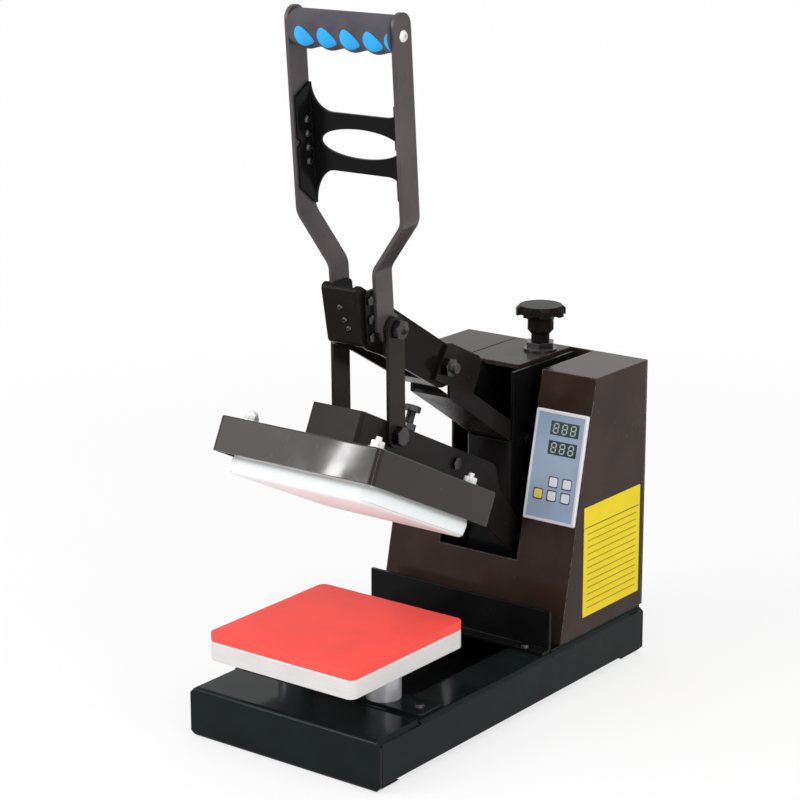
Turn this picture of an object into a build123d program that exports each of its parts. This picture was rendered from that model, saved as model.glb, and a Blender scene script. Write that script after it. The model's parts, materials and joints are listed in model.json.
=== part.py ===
from build123d import *
import os
from math import acos, atan2, cos, degrees, hypot, radians, sin, sqrt, tan

# A small bench heat press: a toggle handle brings a hinged heating head down on a padded platen.
# Millimetres. The front faces -Y, the control box is on +X, +Z is up, and the origin is the
# centre of the base on the bench. Every piece is drawn with the press fully open.

os.makedirs("parts", exist_ok=True)

# Running and seating clearances
PIN_CLEARANCE = 0.06
SLIDE_GAP = 0.3
SHAFT_GAP = 0.05
TRIM = 1

# Screws, bolts and nuts: head radius or half the width across flats, then height
PAN_TAPER = 14
HEX_SIDES = 6
FLATS_FORWARD = 30
SMALL_HEX = 6.5
SMALL_HEX_HEIGHT = 5.5
SMALL_NUT_HEIGHT = 6
PIVOT_HEX = 7.5
PIVOT_HEX_HEIGHT = 7
PIVOT_TAIL = 2
QUARTER_TURN = 90

# Setbacks are measured from a datum line this far in front of the base's rear edge
DATUM_TO_REAR = 396

# Base of folded sheet
BASE_WIDTH = 200
BASE_DEPTH = 396
BASE_HEIGHT = 44
BASE_SHEET = 3
BASE_BEND = 4
FRONT_CHANNEL_DEPTH = 57
REAR_CHANNEL_DEPTH = 24
FOOT_FLANGE = 28
FOOT_CHAMFER = 5
RAIL_WIDTH = 41.5
RAIL_LIFT = 6
RAIL_LIP = 15
BAR_SCREW_INSET = 11
BAR_CORNER = 3
BASE_SCREW_RADIUS = 2.5
BASE_SCREW_HEAD = 4.2
BASE_SCREW_HEIGHT = 2.6

# Lower platen, its posts and the silicone pad
PLATEN_SIZE = 152
PLATEN_THICKNESS = 16.5
PLATEN_CORNER = 7
PLATEN_SETBACK = 72.5
PAD_THICKNESS = 8
POST_RADIUS = 15
POST_HEIGHT = 27.7
POST_SPACING = 94
POST_SETBACK = 75
CROSS_BAR_LENGTH = 190
CROSS_BAR_WIDTH = 30
CROSS_BAR_THICKNESS = 3

# Deck and guard plate under the tower
GUARD_SETBACK = 245
GUARD_SHEET = 3
GUARD_HEIGHT = 37.5
GUARD_FLANGE = 13
GUARD_SCREW_INSET = 21
GUARD_INSET = 0.5
DECK_SHEET = 2

# Tower of folded sheet
TOWER_WIDTH = 195
TOWER_SHEET = 2
TOWER_HEIGHT = 229.6
TOWER_SETBACK = 262
TOWER_DEPTH = 135
TOWER_TOP_DEPTH = 84
NOTCH_LEFT = -43
NOTCH_RISE = 63
SHOULDER_RISE = 104
BOX_INNER_SIDE = 41.5
BOX_MARGIN = 1.25
TOP_PLATE_EDGE = 16.5
TOP_PLATE_DROP = 30
TOP_PLATE_LIP = 4
REAR_FLANGE = 25
COVER_LIP = 10

# Controller on the sloping front of the box
BEZEL_WIDTH = TOWER_WIDTH / 2 - BOX_INNER_SIDE - 2 * BOX_MARGIN
BEZEL_HEIGHT = 98
BEZEL_BORDER = 2.8
BEZEL_THICKNESS = 3
BEZEL_CORNER = 1.5
BEZEL_EDGE = 0.8
BEZEL_RISE = 152.75
PANEL_THICKNESS = 2.6
CASE_DEPTH = 68
DISPLAY_WIDTH = 0.55 * BEZEL_WIDTH
DISPLAY_HEIGHT = 12.2
DISPLAY_OFFSET = 0.084 * BEZEL_WIDTH
DISPLAY_ROWS = (33.8, 16.6)
KEY_SIZE = 8
KEY_CORNER = 1.8
KEY_PITCH_X = 0.264 * BEZEL_WIDTH
KEY_PITCH_Y = 12.2
KEY_GRID_X = 0.35
KEY_GRID_Y = -19.35
KEY_PROUD = 0.8
KEY_TRAVEL = 0.8

# Column inside the tower
COLUMN_HALF = 23.8
COLUMN_SHEET = 2.5
COLUMN_SETBACK = 290
COLUMN_DEPTH = 102
COLUMN_BEND = 4
COLUMN_WEB_TOP = 211
COLUMN_CORNER = 8

# Pivots, as setback from the datum and height above the bench
ARM_PIVOT = (300, 118)
TOGGLE_PIVOT = (197, 298.5)
KNEE_PIVOT = (116, 348)
TOGGLE_BOLT_END = 5
PIVOT_RADIUS = 5

# Heating head, drawn in its own plane with its origin at the centre of the housing's top
HEAD_TILT = 25.6
PRESSED_GAP = 0.3
HOUSING_WIDTH = 166
HOUSING_LENGTH = 177
HOUSING_DEPTH = 30
HOUSING_WALL = 2.5
HOUSING_CORNER = 5
HOUSING_EDGE = 1.5
BOARD_THICKNESS = 15
COVER_SIZE = 152
COVER_WALL = 1.5
COVER_CORNER = 12
COVER_EDGE = 5
COVER_TUCK = 2
HEAD_DEPTH = 44.5
HEAD_BOLT_X = 65
HEAD_BOLT_Y = 70
HEAD_BOLT_RADIUS = 3
HEAD_BOLT_HEX = 5.5
HEAD_BOLT_HEIGHT = 8.5
HEAD_WASHER_RADIUS = 7.5
WASHER_HEIGHT = 1.5

# Arm that carries the head, a folded channel that straddles the column
ARM_SHEET = 2.5
ARM_BEND = 3
ARM_FRONT = -47
ARM_HEIGHT = 30
ARM_REAR = 160
ARM_HEEL = (176, 11)
ARM_EYE = 12.5
ARM_CROWN = 12
LINK_LUG = (2, 21.2)
TIE_PLACE = (99.5, 18)
TIE_RADIUS = 6
STOP_PLACE = (19, 28)
STOP_RADIUS = 4
STOP_PLATE_LENGTH = 20
STOP_PLATE_THICKNESS = 5

# Upper arm of the toggle
UPPER_ARM_HALF = 17.6
UPPER_ARM_SHEET = 3
UPPER_ARM_EYE = 18.5
UPPER_ARM_TOP = (76.3, 392.8)
UPPER_ARM_TOE = (86.5, 338)
UPPER_ARM_CHIN = (95, 332.5)
UPPER_ARM_BELLY = (113, 325)
UPPER_ARM_SOFT = 5

# Fork at the head of the column
FORK_SHEET = 3
FORK_GAP = 0.4
FORK_EAR = ((182, 290), (202, 319), (248, 297), (246.5, 284))
FORK_THROAT = (203, 280)
FORK_CROTCH = (237, 266.5)
FORK_NECK_START = (203, 269.5)
FORK_NECK_END = (306, 202.8)
FORK_NECK_HEIGHT = 16
FORK_SOFT = 5
FORK_TAIL_REACH = 386
FORK_TAIL_HEIGHT = 18
FORK_BOLT_PLACES = ((314, 207.5), (344, 207.5))
FORK_BOLT_RADIUS = 4

# Links
LINK_SHEET = 3
LINK_WIDTH = 21.5
LINK_GAP = 0.4

# Handle legs, drawn in a plane that leans with them
LEG_FOOT = (110.5, 348)
LEG_LEAN = 4.36
LEG_THICKNESS = 3.5
LEG_WIDTH = 22
LEG_SPACER = 2.9
LEG_JOGGLE_START = 51
LEG_JOGGLE_END = 92
LEG_SPREAD = 51.2
LEG_TOP = 249
LEG_BEND = 14
LEG_EYE = 13
GRIP_RISE = 241.5
GRIP_BAR_RADIUS = 9
GRIP_RADIUS = 16
GRIP_VALLEY_RADIUS = 13
GRIP_PITCH = 23
GRIP_FIRST_VALLEY = -35
GRIP_SCREW_RADIUS = 3
GRIP_SCREW_HEAD = 4.8
GRIP_SCREW_HEIGHT = 2.6
BRACE_SHEET = 2.5
BRACE_CENTRE = 149
BRACE_WINDOW_WIDTH = 80
BRACE_WINDOW_HEIGHT = 24
BRACE_BAND = 24
BRACE_HORN_TOP = 196
BRACE_HORN_BOTTOM = 96
BRACE_FLAT_HALF = 27
BRACE_TAB_FRONT = -9
BRACE_TAB_LOW = 112
BRACE_TAB_HIGH = 187
BRACE_NOTCH = 4
BRACE_BOLT_BACK = 3
BRACE_BOLT_PITCH = 11.5
BRACE_BOLT_RADIUS = 2
BRACE_BOLT_THREAD = 2.5
BRACE_BOLT_HEAD = 3.8
BRACE_BOLT_HEIGHT = 2.2

# Pressure knob on top of the tower
KNOB_SETBACK = 371
KNOB_RADIUS = 22.5
KNOB_HUB_RADIUS = 11.75
KNOB_COLLAR_RADIUS = 8.3
KNOB_FLUTES = 8
KNOB_HEIGHT = 33.5
KNOB_DISC = 12
KNOB_TURN_IN = 0.62
BUSH_RADIUS = 15
BUSH_HEX = 11.7
BUSH_HEIGHT = 8
SCREW_RADIUS = 6
SCREW_LENGTH = 120
NUT_LENGTH = 20
NUT_HEIGHT = 22
NUT_CORNER = 2

# Switch and mains inlet on the back
REAR_FITTINGS_X = BOX_INNER_SIDE + 20.5
INLET_RISE = 40
SWITCH_RISE = 78
FITTING_FLANGE = (31, 24)
SWITCH_FLANGE_WIDTH = 25
FITTING_CORNER = 2
FITTING_FLANGE_THICKNESS = 2.5
INLET_BODY = (27, 19.5)
INLET_BODY_DEPTH = 22
INLET_MOUTH = (22.6, 15.4)
INLET_MOUTH_DEPTH = 16
SWITCH_BODY = (21.6, 19.5)
SWITCH_BODY_DEPTH = 16
SWITCH_BACK_WALL = 2
STUB_LENGTH = 1.5
ROCKER_WIDTH = 13
ROCKER_HEIGHT = 15
ROCKER_TILT = 10
ROCKER_PIN = 1.5


def from_datum(setback):
    """Turn a distance behind the datum line into a Y value."""
    return BASE_DEPTH / 2 - DATUM_TO_REAR + setback


def placed(point):
    """Turn a (setback, height) pair into a (Y, Z) pair."""
    return (from_datum(point[0]), point[1])


def tangent_point(start, centre, radius, side):
    """Where a line from start touches a circle; side is 1 or -1."""
    run = (start[0] - centre[0], start[1] - centre[1])
    heading = atan2(run[1], run[0]) + side * acos(radius / hypot(*run))
    return (centre[0] + radius * cos(heading), centre[1] + radius * sin(heading))


def folded_section(points, sheet, bend, side):
    """Draw a strip of sheet whose outer face follows the points, with round bends."""
    with BuildLine() as profile:
        outer_face = FilletPolyline(*points, radius=bend)
        offset(outer_face, amount=sheet, side=side)
    make_face(profile.edges())


def closed_outline(points):
    """Draw a face with straight sides through the points."""
    with BuildLine() as profile:
        Polyline(*points, close=True)
    make_face(profile.edges())


def mirrored_section(side, y):
    """A plane across the press: local x runs outwards on that side and local y runs up."""
    return Plane(origin=(0, y, 0), x_dir=(side, 0, 0), z_dir=(0, -side, 0))


def add_hex_bolt(seat, rod_radius, reach, head_radius, head_height):
    """A bolt whose head stands on the seat plane and whose rod runs down through it."""
    with BuildSketch(seat) as head:
        RegularPolygon(head_radius, HEX_SIDES, major_radius=False, rotation=FLATS_FORWARD)
    extrude(head.sketch, amount=head_height)
    with BuildSketch(seat) as rod:
        Circle(rod_radius)
    extrude(rod.sketch, amount=-reach)


def add_round_screw(seat, rod_radius, reach, head_radius, head_height):
    """A pan head screw seated the same way."""
    with BuildSketch(seat) as head:
        Circle(head_radius)
    extrude(head.sketch, amount=head_height, taper=PAN_TAPER)
    with BuildSketch(seat) as rod:
        Circle(rod_radius)
    extrude(rod.sketch, amount=-reach)


def add_nut(seat, head_radius, head_height):
    """A plain hexagon nut on a seat plane."""
    with BuildSketch(seat) as nut:
        RegularPolygon(head_radius, HEX_SIDES, major_radius=False, rotation=FLATS_FORWARD)
    extrude(nut.sketch, amount=head_height)


def across(side, x, point):
    """A plane facing outwards on one side of the press, at a (Y, Z) point."""
    return Plane(origin=(side * x, point[0], point[1]), x_dir=(0, 1, 0), z_dir=(side, 0, 0))


BASE_REAR = BASE_DEPTH / 2

# Front and rear channels of the base
for label, end, depth in (
    ("front_channel", -1, FRONT_CHANNEL_DEPTH),
    ("rear_channel", 1, REAR_CHANNEL_DEPTH),
):
    half = BASE_DEPTH / 2
    with BuildPart() as end_channel:
        with BuildSketch(Plane.YZ):
            folded_section(
                [
                    (end * (half - FOOT_FLANGE), 0),
                    (end * half, 0),
                    (end * half, BASE_HEIGHT),
                    (end * (half - depth), BASE_HEIGHT),
                ],
                BASE_SHEET,
                BASE_BEND,
                Side.RIGHT if end < 0 else Side.LEFT,
            )
        extrude(amount=BASE_WIDTH / 2, both=True)
        with BuildSketch(Plane.XZ) as front_view:
            with Locations((0, BASE_HEIGHT / 2)):
                Rectangle(BASE_WIDTH, BASE_HEIGHT)
            chamfer(front_view.vertices().group_by(Axis.Z)[0], FOOT_CHAMFER)
        extrude(amount=BASE_DEPTH, both=True, mode=Mode.INTERSECT)
    end_channel.part.label = label
    export_step(end_channel.part, f"parts/{label}.step")

# Side rails, notched under the flanges of the end channels
RAIL_OUTER = BASE_WIDTH / 2
RAIL_INNER = RAIL_OUTER - RAIL_WIDTH
RAIL_END = BASE_DEPTH / 2 - BASE_BEND
for label, side in (("left_rail", -1), ("right_rail", 1)):
    with BuildPart() as rail:
        with BuildSketch(mirrored_section(side, 0)):
            folded_section(
                [
                    (RAIL_OUTER, RAIL_LIFT),
                    (RAIL_OUTER, BASE_HEIGHT),
                    (RAIL_INNER, BASE_HEIGHT),
                    (RAIL_INNER, BASE_HEIGHT - RAIL_LIP),
                ],
                BASE_SHEET,
                BASE_BEND,
                Side.LEFT,
            )
        extrude(amount=RAIL_END, both=True)
        for end, depth in ((-1, FRONT_CHANNEL_DEPTH), (1, REAR_CHANNEL_DEPTH)):
            flange_edge = end * (BASE_DEPTH / 2 - depth)
            with BuildSketch(mirrored_section(side, flange_edge)) as notch:
                with Locations(((RAIL_INNER + RAIL_OUTER) / 2, BASE_HEIGHT)):
                    Rectangle(RAIL_WIDTH * 2, BASE_SHEET * 2)
                with Locations((RAIL_INNER, BASE_HEIGHT / 2)):
                    Rectangle((RAIL_WIDTH - BASE_BEND) * 2, BASE_HEIGHT)
            extrude(amount=-end * side * depth, mode=Mode.SUBTRACT)
    rail.part.label = label
    export_step(rail.part, f"parts/{label}.step")

# Flat bar across the rails, and the two turned posts on it
POST_Y = from_datum(POST_SETBACK)
BAR_TOP = BASE_HEIGHT + CROSS_BAR_THICKNESS
BAR_SCREW_X = CROSS_BAR_LENGTH / 2 - BAR_SCREW_INSET
with BuildPart() as cross_bar:
    with BuildSketch(Plane.XY.offset(BASE_HEIGHT)):
        with Locations((0, POST_Y)):
            RectangleRounded(CROSS_BAR_LENGTH, CROSS_BAR_WIDTH, BAR_CORNER)
    extrude(amount=CROSS_BAR_THICKNESS)
    with Locations((BAR_SCREW_X, POST_Y, BAR_TOP), (-BAR_SCREW_X, POST_Y, BAR_TOP)):
        Hole(BASE_SCREW_RADIUS + PIN_CLEARANCE)
cross_bar.part.label = "cross_bar"
export_step(cross_bar.part, "parts/cross_bar.step")

with BuildPart() as posts:
    with BuildSketch(Plane.XY.offset(BAR_TOP)):
        with Locations((-POST_SPACING / 2, POST_Y), (POST_SPACING / 2, POST_Y)):
            Circle(POST_RADIUS)
    extrude(amount=POST_HEIGHT)
    chamfer(posts.edges().filter_by(GeomType.CIRCLE).group_by(Axis.Z)[-1], TRIM)
posts.part.label = "posts"
export_step(posts.part, "parts/posts.step")

# Lower platen of cast aluminium with the silicone pad on it
PLATEN_Y = from_datum(PLATEN_SETBACK)
PLATEN_BOTTOM = BAR_TOP + POST_HEIGHT
PLATEN_TOP = PLATEN_BOTTOM + PLATEN_THICKNESS
PAD_TOP = PLATEN_TOP + PAD_THICKNESS
PLATEN_CAVITY = 5
PLATEN_RIM = 12
PLATEN_RIB = CROSS_BAR_WIDTH + 10
PAD_EDGE = 1.2
with BuildPart() as lower_platen:
    with BuildSketch(Plane.XY.offset(PLATEN_BOTTOM)):
        with Locations((0, PLATEN_Y)):
            RectangleRounded(PLATEN_SIZE, PLATEN_SIZE, PLATEN_CORNER)
    extrude(amount=PLATEN_THICKNESS)
    fillet(lower_platen.faces().sort_by(Axis.Z)[-1].edges(), TRIM)
    fillet(lower_platen.faces().sort_by(Axis.Z)[0].edges(), TRIM)
    with BuildSketch(Plane.XY.offset(PLATEN_BOTTOM)) as relief:
        with Locations((0, PLATEN_Y)):
            RectangleRounded(PLATEN_SIZE - 2 * PLATEN_RIM, PLATEN_SIZE - 2 * PLATEN_RIM, PLATEN_CORNER)
        with Locations((0, PLATEN_Y)):
            Rectangle(PLATEN_SIZE, PLATEN_RIB, mode=Mode.SUBTRACT)
    extrude(amount=PLATEN_CAVITY, mode=Mode.SUBTRACT)
lower_platen.part.label = "lower_platen"
export_step(lower_platen.part, "parts/lower_platen.step")

with BuildPart() as silicone_pad:
    with BuildSketch(Plane.XY.offset(PLATEN_TOP)):
        with Locations((0, PLATEN_Y)):
            RectangleRounded(PLATEN_SIZE, PLATEN_SIZE, PLATEN_CORNER)
    extrude(amount=PAD_THICKNESS)
    fillet(silicone_pad.faces().sort_by(Axis.Z)[-1].edges(), PAD_EDGE)
silicone_pad.part.label = "silicone_pad"
export_step(silicone_pad.part, "parts/silicone_pad.step")

# Guard plate, an angle across the rails in front of the tower
GUARD_Y = from_datum(GUARD_SETBACK)
GUARD_REAR = GUARD_Y + GUARD_SHEET
GUARD_SCREW_Y = GUARD_REAR - GUARD_FLANGE + BASE_SCREW_HEAD + SLIDE_GAP
GUARD_SCREW_X = TOWER_WIDTH / 2 - GUARD_SCREW_INSET
with BuildPart() as guard_plate:
    with BuildSketch(Plane.YZ):
        folded_section(
            [
                (GUARD_REAR - GUARD_FLANGE, BASE_HEIGHT),
                (GUARD_REAR, BASE_HEIGHT),
                (GUARD_REAR, BASE_HEIGHT + GUARD_HEIGHT),
            ],
            GUARD_SHEET,
            BASE_BEND,
            Side.LEFT,
        )
    extrude(amount=TOWER_WIDTH / 2 - GUARD_INSET, both=True)
    with Locations([(x, GUARD_SCREW_Y, BASE_HEIGHT + GUARD_SHEET) for x in (-GUARD_SCREW_X, GUARD_SCREW_X)]):
        Hole(BASE_SCREW_RADIUS + PIN_CLEARANCE, depth=GUARD_SHEET)
guard_plate.part.label = "guard_plate"
export_step(guard_plate.part, "parts/guard_plate.step")

with BuildPart() as base_screws:
    for x in (-GUARD_SCREW_X, GUARD_SCREW_X):
        guard_seat = Plane(origin=(x, GUARD_SCREW_Y, BASE_HEIGHT + GUARD_SHEET))
        add_round_screw(guard_seat, BASE_SCREW_RADIUS, GUARD_SHEET, BASE_SCREW_HEAD, BASE_SCREW_HEIGHT)
    for x in (-BAR_SCREW_X, BAR_SCREW_X):
        bar_seat = Plane(origin=(x, POST_Y, BAR_TOP))
        add_round_screw(bar_seat, BASE_SCREW_RADIUS, CROSS_BAR_THICKNESS, BASE_SCREW_HEAD, BASE_SCREW_HEIGHT)
base_screws.part.label = "base_screws"
export_step(base_screws.part, "parts/base_screws.step")

# Deck plate that the tower and the column stand on
DECK_TOP = BASE_HEIGHT + DECK_SHEET
DECK_REAR = BASE_REAR - BASE_SHEET
with BuildPart() as deck_plate:
    with BuildSketch(Plane.XY.offset(BASE_HEIGHT)):
        with Locations((0, (GUARD_REAR + DECK_REAR) / 2)):
            Rectangle(TOWER_WIDTH, DECK_REAR - GUARD_REAR)
    extrude(amount=DECK_SHEET)
deck_plate.part.label = "deck_plate"
export_step(deck_plate.part, "parts/deck_plate.step")

# Column, a folded channel open to the rear, with the pivot bores of the head's arm
COLUMN_FRONT = from_datum(COLUMN_SETBACK)
COLUMN_REAR = COLUMN_FRONT + COLUMN_DEPTH
TOWER_TOP = DECK_TOP + TOWER_HEIGHT
COLUMN_TOP = TOWER_TOP - TOWER_SHEET
ARM_PIVOT_YZ = placed(ARM_PIVOT)
FORK_BOLTS_YZ = [placed(place) for place in FORK_BOLT_PLACES]
with BuildPart() as column:
    with BuildSketch(Plane.XY.offset(DECK_TOP)):
        folded_section(
            [
                (-COLUMN_HALF, COLUMN_REAR),
                (-COLUMN_HALF, COLUMN_FRONT),
                (COLUMN_HALF, COLUMN_FRONT),
                (COLUMN_HALF, COLUMN_REAR),
            ],
            COLUMN_SHEET,
            COLUMN_BEND,
            Side.LEFT,
        )
    extrude(amount=COLUMN_TOP - DECK_TOP)
    cheek_front = COLUMN_FRONT + COLUMN_BEND
    with BuildSketch(Plane.YZ) as side_view:
        closed_outline(
            [
                (COLUMN_FRONT, DECK_TOP),
                (COLUMN_FRONT, COLUMN_WEB_TOP),
                (cheek_front, COLUMN_WEB_TOP),
                (cheek_front, COLUMN_TOP),
                (COLUMN_REAR, COLUMN_TOP),
                (COLUMN_REAR, DECK_TOP),
            ]
        )
        fillet(side_view.vertices().group_by(Axis.Z)[-1].sort_by(Axis.Y)[0], COLUMN_CORNER)
        with Locations(ARM_PIVOT_YZ):
            Circle(PIVOT_RADIUS + PIN_CLEARANCE, mode=Mode.SUBTRACT)
        with Locations(FORK_BOLTS_YZ):
            Circle(FORK_BOLT_RADIUS + PIN_CLEARANCE, mode=Mode.SUBTRACT)
    extrude(amount=COLUMN_HALF, both=True, mode=Mode.INTERSECT)
column.part.label = "column"
export_step(column.part, "parts/column.step")

# Fork, bolted between the column's cheeks, whose ears hold the toggle pivot
FORK_OUTER = COLUMN_HALF - COLUMN_SHEET - SLIDE_GAP
FORK_INNER = FORK_OUTER - FORK_SHEET
TOGGLE_PIVOT_YZ = placed(TOGGLE_PIVOT)
neck_run = (FORK_NECK_END[0] - FORK_NECK_START[0], FORK_NECK_END[1] - FORK_NECK_START[1])
neck_normal = (-neck_run[1] / hypot(*neck_run), neck_run[0] / hypot(*neck_run))


def above_neck(point, height):
    """A point raised square to the neck of the fork."""
    return (point[0] + neck_normal[0] * height, point[1] + neck_normal[1] * height)


tail_top = above_neck(FORK_NECK_END, FORK_NECK_HEIGHT)[1]
fork_side = [
    FORK_EAR[0],
    FORK_EAR[1],
    FORK_EAR[2],
    FORK_EAR[3],
    FORK_CROTCH,
    above_neck(FORK_NECK_END, FORK_NECK_HEIGHT),
    (FORK_TAIL_REACH, tail_top),
    (FORK_TAIL_REACH, tail_top - FORK_TAIL_HEIGHT),
    (FORK_NECK_END[0] + FORK_NECK_HEIGHT / 2, tail_top - FORK_TAIL_HEIGHT),
    FORK_NECK_END,
    FORK_NECK_START,
    FORK_THROAT,
]
fork_strap = [
    FORK_NECK_START,
    FORK_NECK_END,
    above_neck(FORK_NECK_END, FORK_SHEET),
    above_neck(FORK_NECK_START, FORK_SHEET),
]
with BuildPart() as fork:
    with BuildSketch(Plane.YZ) as cheek:
        closed_outline([placed(point) for point in fork_side])
        fillet(cheek.vertices().sort_by(Axis.Y)[-2:], FORK_SOFT)
        with Locations(TOGGLE_PIVOT_YZ):
            Circle(PIVOT_RADIUS + PIN_CLEARANCE, mode=Mode.SUBTRACT)
        with Locations(FORK_BOLTS_YZ):
            Circle(FORK_BOLT_RADIUS + PIN_CLEARANCE, mode=Mode.SUBTRACT)
    extrude(amount=FORK_OUTER, both=True)
    with BuildSketch(Plane.YZ) as between_cheeks:
        closed_outline([placed(point) for point in fork_side])
    extrude(amount=FORK_INNER, both=True, mode=Mode.SUBTRACT)
    with BuildSketch(Plane.YZ) as strap:
        closed_outline([placed(point) for point in fork_strap])
    extrude(amount=FORK_OUTER, both=True)
fork.part.label = "fork"
export_step(fork.part, "parts/fork.step")

FORK_BOLT_REACH = 2 * COLUMN_HALF + SMALL_NUT_HEIGHT - TRIM
with BuildPart() as fork_bolts:
    for place in FORK_BOLTS_YZ:
        bolt_seat = across(1, COLUMN_HALF, place)
        add_hex_bolt(bolt_seat, FORK_BOLT_RADIUS, FORK_BOLT_REACH, SMALL_HEX, SMALL_HEX_HEIGHT)
        add_nut(across(-1, COLUMN_HALF, place), SMALL_HEX, SMALL_NUT_HEIGHT)
fork_bolts.part.label = "fork_bolts"
export_step(fork_bolts.part, "parts/fork_bolts.step")

# Heating head: the housing's top centre, worked back from the pressed position
HOUSING_TOP_PRESSED = PAD_TOP + PRESSED_GAP + HEAD_DEPTH
HEAD_EYE = (ARM_PIVOT[0] - PLATEN_SETBACK, ARM_PIVOT[1] - HOUSING_TOP_PRESSED)
TILT_COS = cos(radians(HEAD_TILT))
TILT_SIN = sin(radians(HEAD_TILT))
HEAD_Y = ARM_PIVOT_YZ[0] - HEAD_EYE[0] * TILT_COS - HEAD_EYE[1] * TILT_SIN
HEAD_Z = ARM_PIVOT_YZ[1] + HEAD_EYE[0] * TILT_SIN - HEAD_EYE[1] * TILT_COS
HEAD = Plane(origin=(0, HEAD_Y, HEAD_Z), x_dir=(1, 0, 0), z_dir=(0, TILT_SIN, TILT_COS))


def head_side(x):
    """The head's side view: local x runs to the rear along the slope, local y square to it."""
    place = HEAD.from_local_coords((x, 0, 0))
    return Plane(origin=place, x_dir=HEAD.y_dir, z_dir=(1, 0, 0))


def head_point(along, up):
    """A point of the head's side view as a (Y, Z) pair."""
    place = HEAD.from_local_coords((0, along, up))
    return (place.Y, place.Z)


HEAD_BOLTS = [(x, y) for x in (-HEAD_BOLT_X, HEAD_BOLT_X) for y in (-HEAD_BOLT_Y, HEAD_BOLT_Y)]
with BuildPart() as heater_housing:
    with BuildSketch(HEAD.offset(-HOUSING_DEPTH)):
        RectangleRounded(HOUSING_WIDTH, HOUSING_LENGTH, HOUSING_CORNER)
    extrude(amount=HOUSING_DEPTH)
    head_up = Axis(HEAD.origin, HEAD.z_dir)
    fillet(heater_housing.faces().sort_by(head_up)[-1].edges(), HOUSING_EDGE)
    with BuildSketch(HEAD.offset(-HOUSING_DEPTH)) as inside:
        RectangleRounded(
            HOUSING_WIDTH - 2 * HOUSING_WALL,
            HOUSING_LENGTH - 2 * HOUSING_WALL,
            HOUSING_CORNER - HOUSING_WALL,
        )
    extrude(amount=HOUSING_DEPTH - HOUSING_WALL, mode=Mode.SUBTRACT)
    with BuildSketch(HEAD) as bolt_holes:
        with Locations(HEAD_BOLTS):
            Circle(HEAD_BOLT_RADIUS + PIN_CLEARANCE)
    extrude(amount=-HOUSING_DEPTH, mode=Mode.SUBTRACT)
heater_housing.part.label = "heater_housing"
export_step(heater_housing.part, "parts/heater_housing.step")

PLATE_SIZE = COVER_SIZE - 2 * COVER_WALL - 2 * SLIDE_GAP
PLATE_TOP = HOUSING_WALL + BOARD_THICKNESS
PLATE_BOTTOM = HEAD_DEPTH - COVER_WALL
with BuildPart() as insulation_board:
    with BuildSketch(HEAD.offset(-HOUSING_WALL)):
        RectangleRounded(
            HOUSING_WIDTH - 2 * HOUSING_WALL - 2 * SLIDE_GAP,
            HOUSING_LENGTH - 2 * HOUSING_WALL - 2 * SLIDE_GAP,
            HOUSING_CORNER - HOUSING_WALL - SLIDE_GAP,
        )
        with Locations(HEAD_BOLTS):
            Circle(HEAD_BOLT_RADIUS + PIN_CLEARANCE, mode=Mode.SUBTRACT)
    extrude(amount=-BOARD_THICKNESS)
insulation_board.part.label = "insulation_board"
export_step(insulation_board.part, "parts/insulation_board.step")

# Cast heating plate, with the tubular element laid in a groove of its upper face
ELEMENT_RADIUS = 4
ELEMENT_HALF = 48
ELEMENT_TURN = 18
ELEMENT_TAILS = 14
ELEMENT_END = PLATE_SIZE / 2 - 6
BOLT_DEPTH = 12
element_path = [
    (-ELEMENT_TAILS, ELEMENT_END),
    (-ELEMENT_TAILS, ELEMENT_TURN),
    (-ELEMENT_HALF, ELEMENT_TURN),
    (-ELEMENT_HALF, -ELEMENT_HALF),
    (ELEMENT_HALF, -ELEMENT_HALF),
    (ELEMENT_HALF, ELEMENT_TURN),
    (ELEMENT_TAILS, ELEMENT_TURN),
    (ELEMENT_TAILS, ELEMENT_END),
]
with BuildPart() as heating_plate:
    with BuildSketch(HEAD.offset(-PLATE_BOTTOM)):
        RectangleRounded(PLATE_SIZE, PLATE_SIZE, COVER_CORNER - COVER_WALL - SLIDE_GAP)
    extrude(amount=PLATE_BOTTOM - PLATE_TOP)
    with BuildSketch(HEAD.offset(-PLATE_TOP)) as tapped_holes:
        with Locations(HEAD_BOLTS):
            Circle(HEAD_BOLT_RADIUS + PIN_CLEARANCE)
    extrude(amount=-BOLT_DEPTH - TRIM, mode=Mode.SUBTRACT)
    with BuildSketch(HEAD.offset(-PLATE_TOP)) as groove:
        with BuildLine():
            FilletPolyline(*element_path, radius=ELEMENT_TURN / 2)
        trace(line_width=2 * (ELEMENT_RADIUS + SLIDE_GAP))
    extrude(amount=-2 * ELEMENT_RADIUS - SLIDE_GAP, mode=Mode.SUBTRACT)
heating_plate.part.label = "heating_plate"
export_step(heating_plate.part, "parts/heating_plate.step")

with BuildPart() as heating_element:
    with BuildLine(HEAD.offset(-PLATE_TOP - ELEMENT_RADIUS - SLIDE_GAP / 2)) as element_line:
        FilletPolyline(*element_path, radius=ELEMENT_TURN / 2)
    with BuildSketch(Plane(origin=element_line.wire() @ 0, z_dir=element_line.wire() % 0)):
        Circle(ELEMENT_RADIUS)
    sweep(path=element_line.wire())
heating_element.part.label = "heating_element"
export_step(heating_element.part, "parts/heating_element.step")

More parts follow.
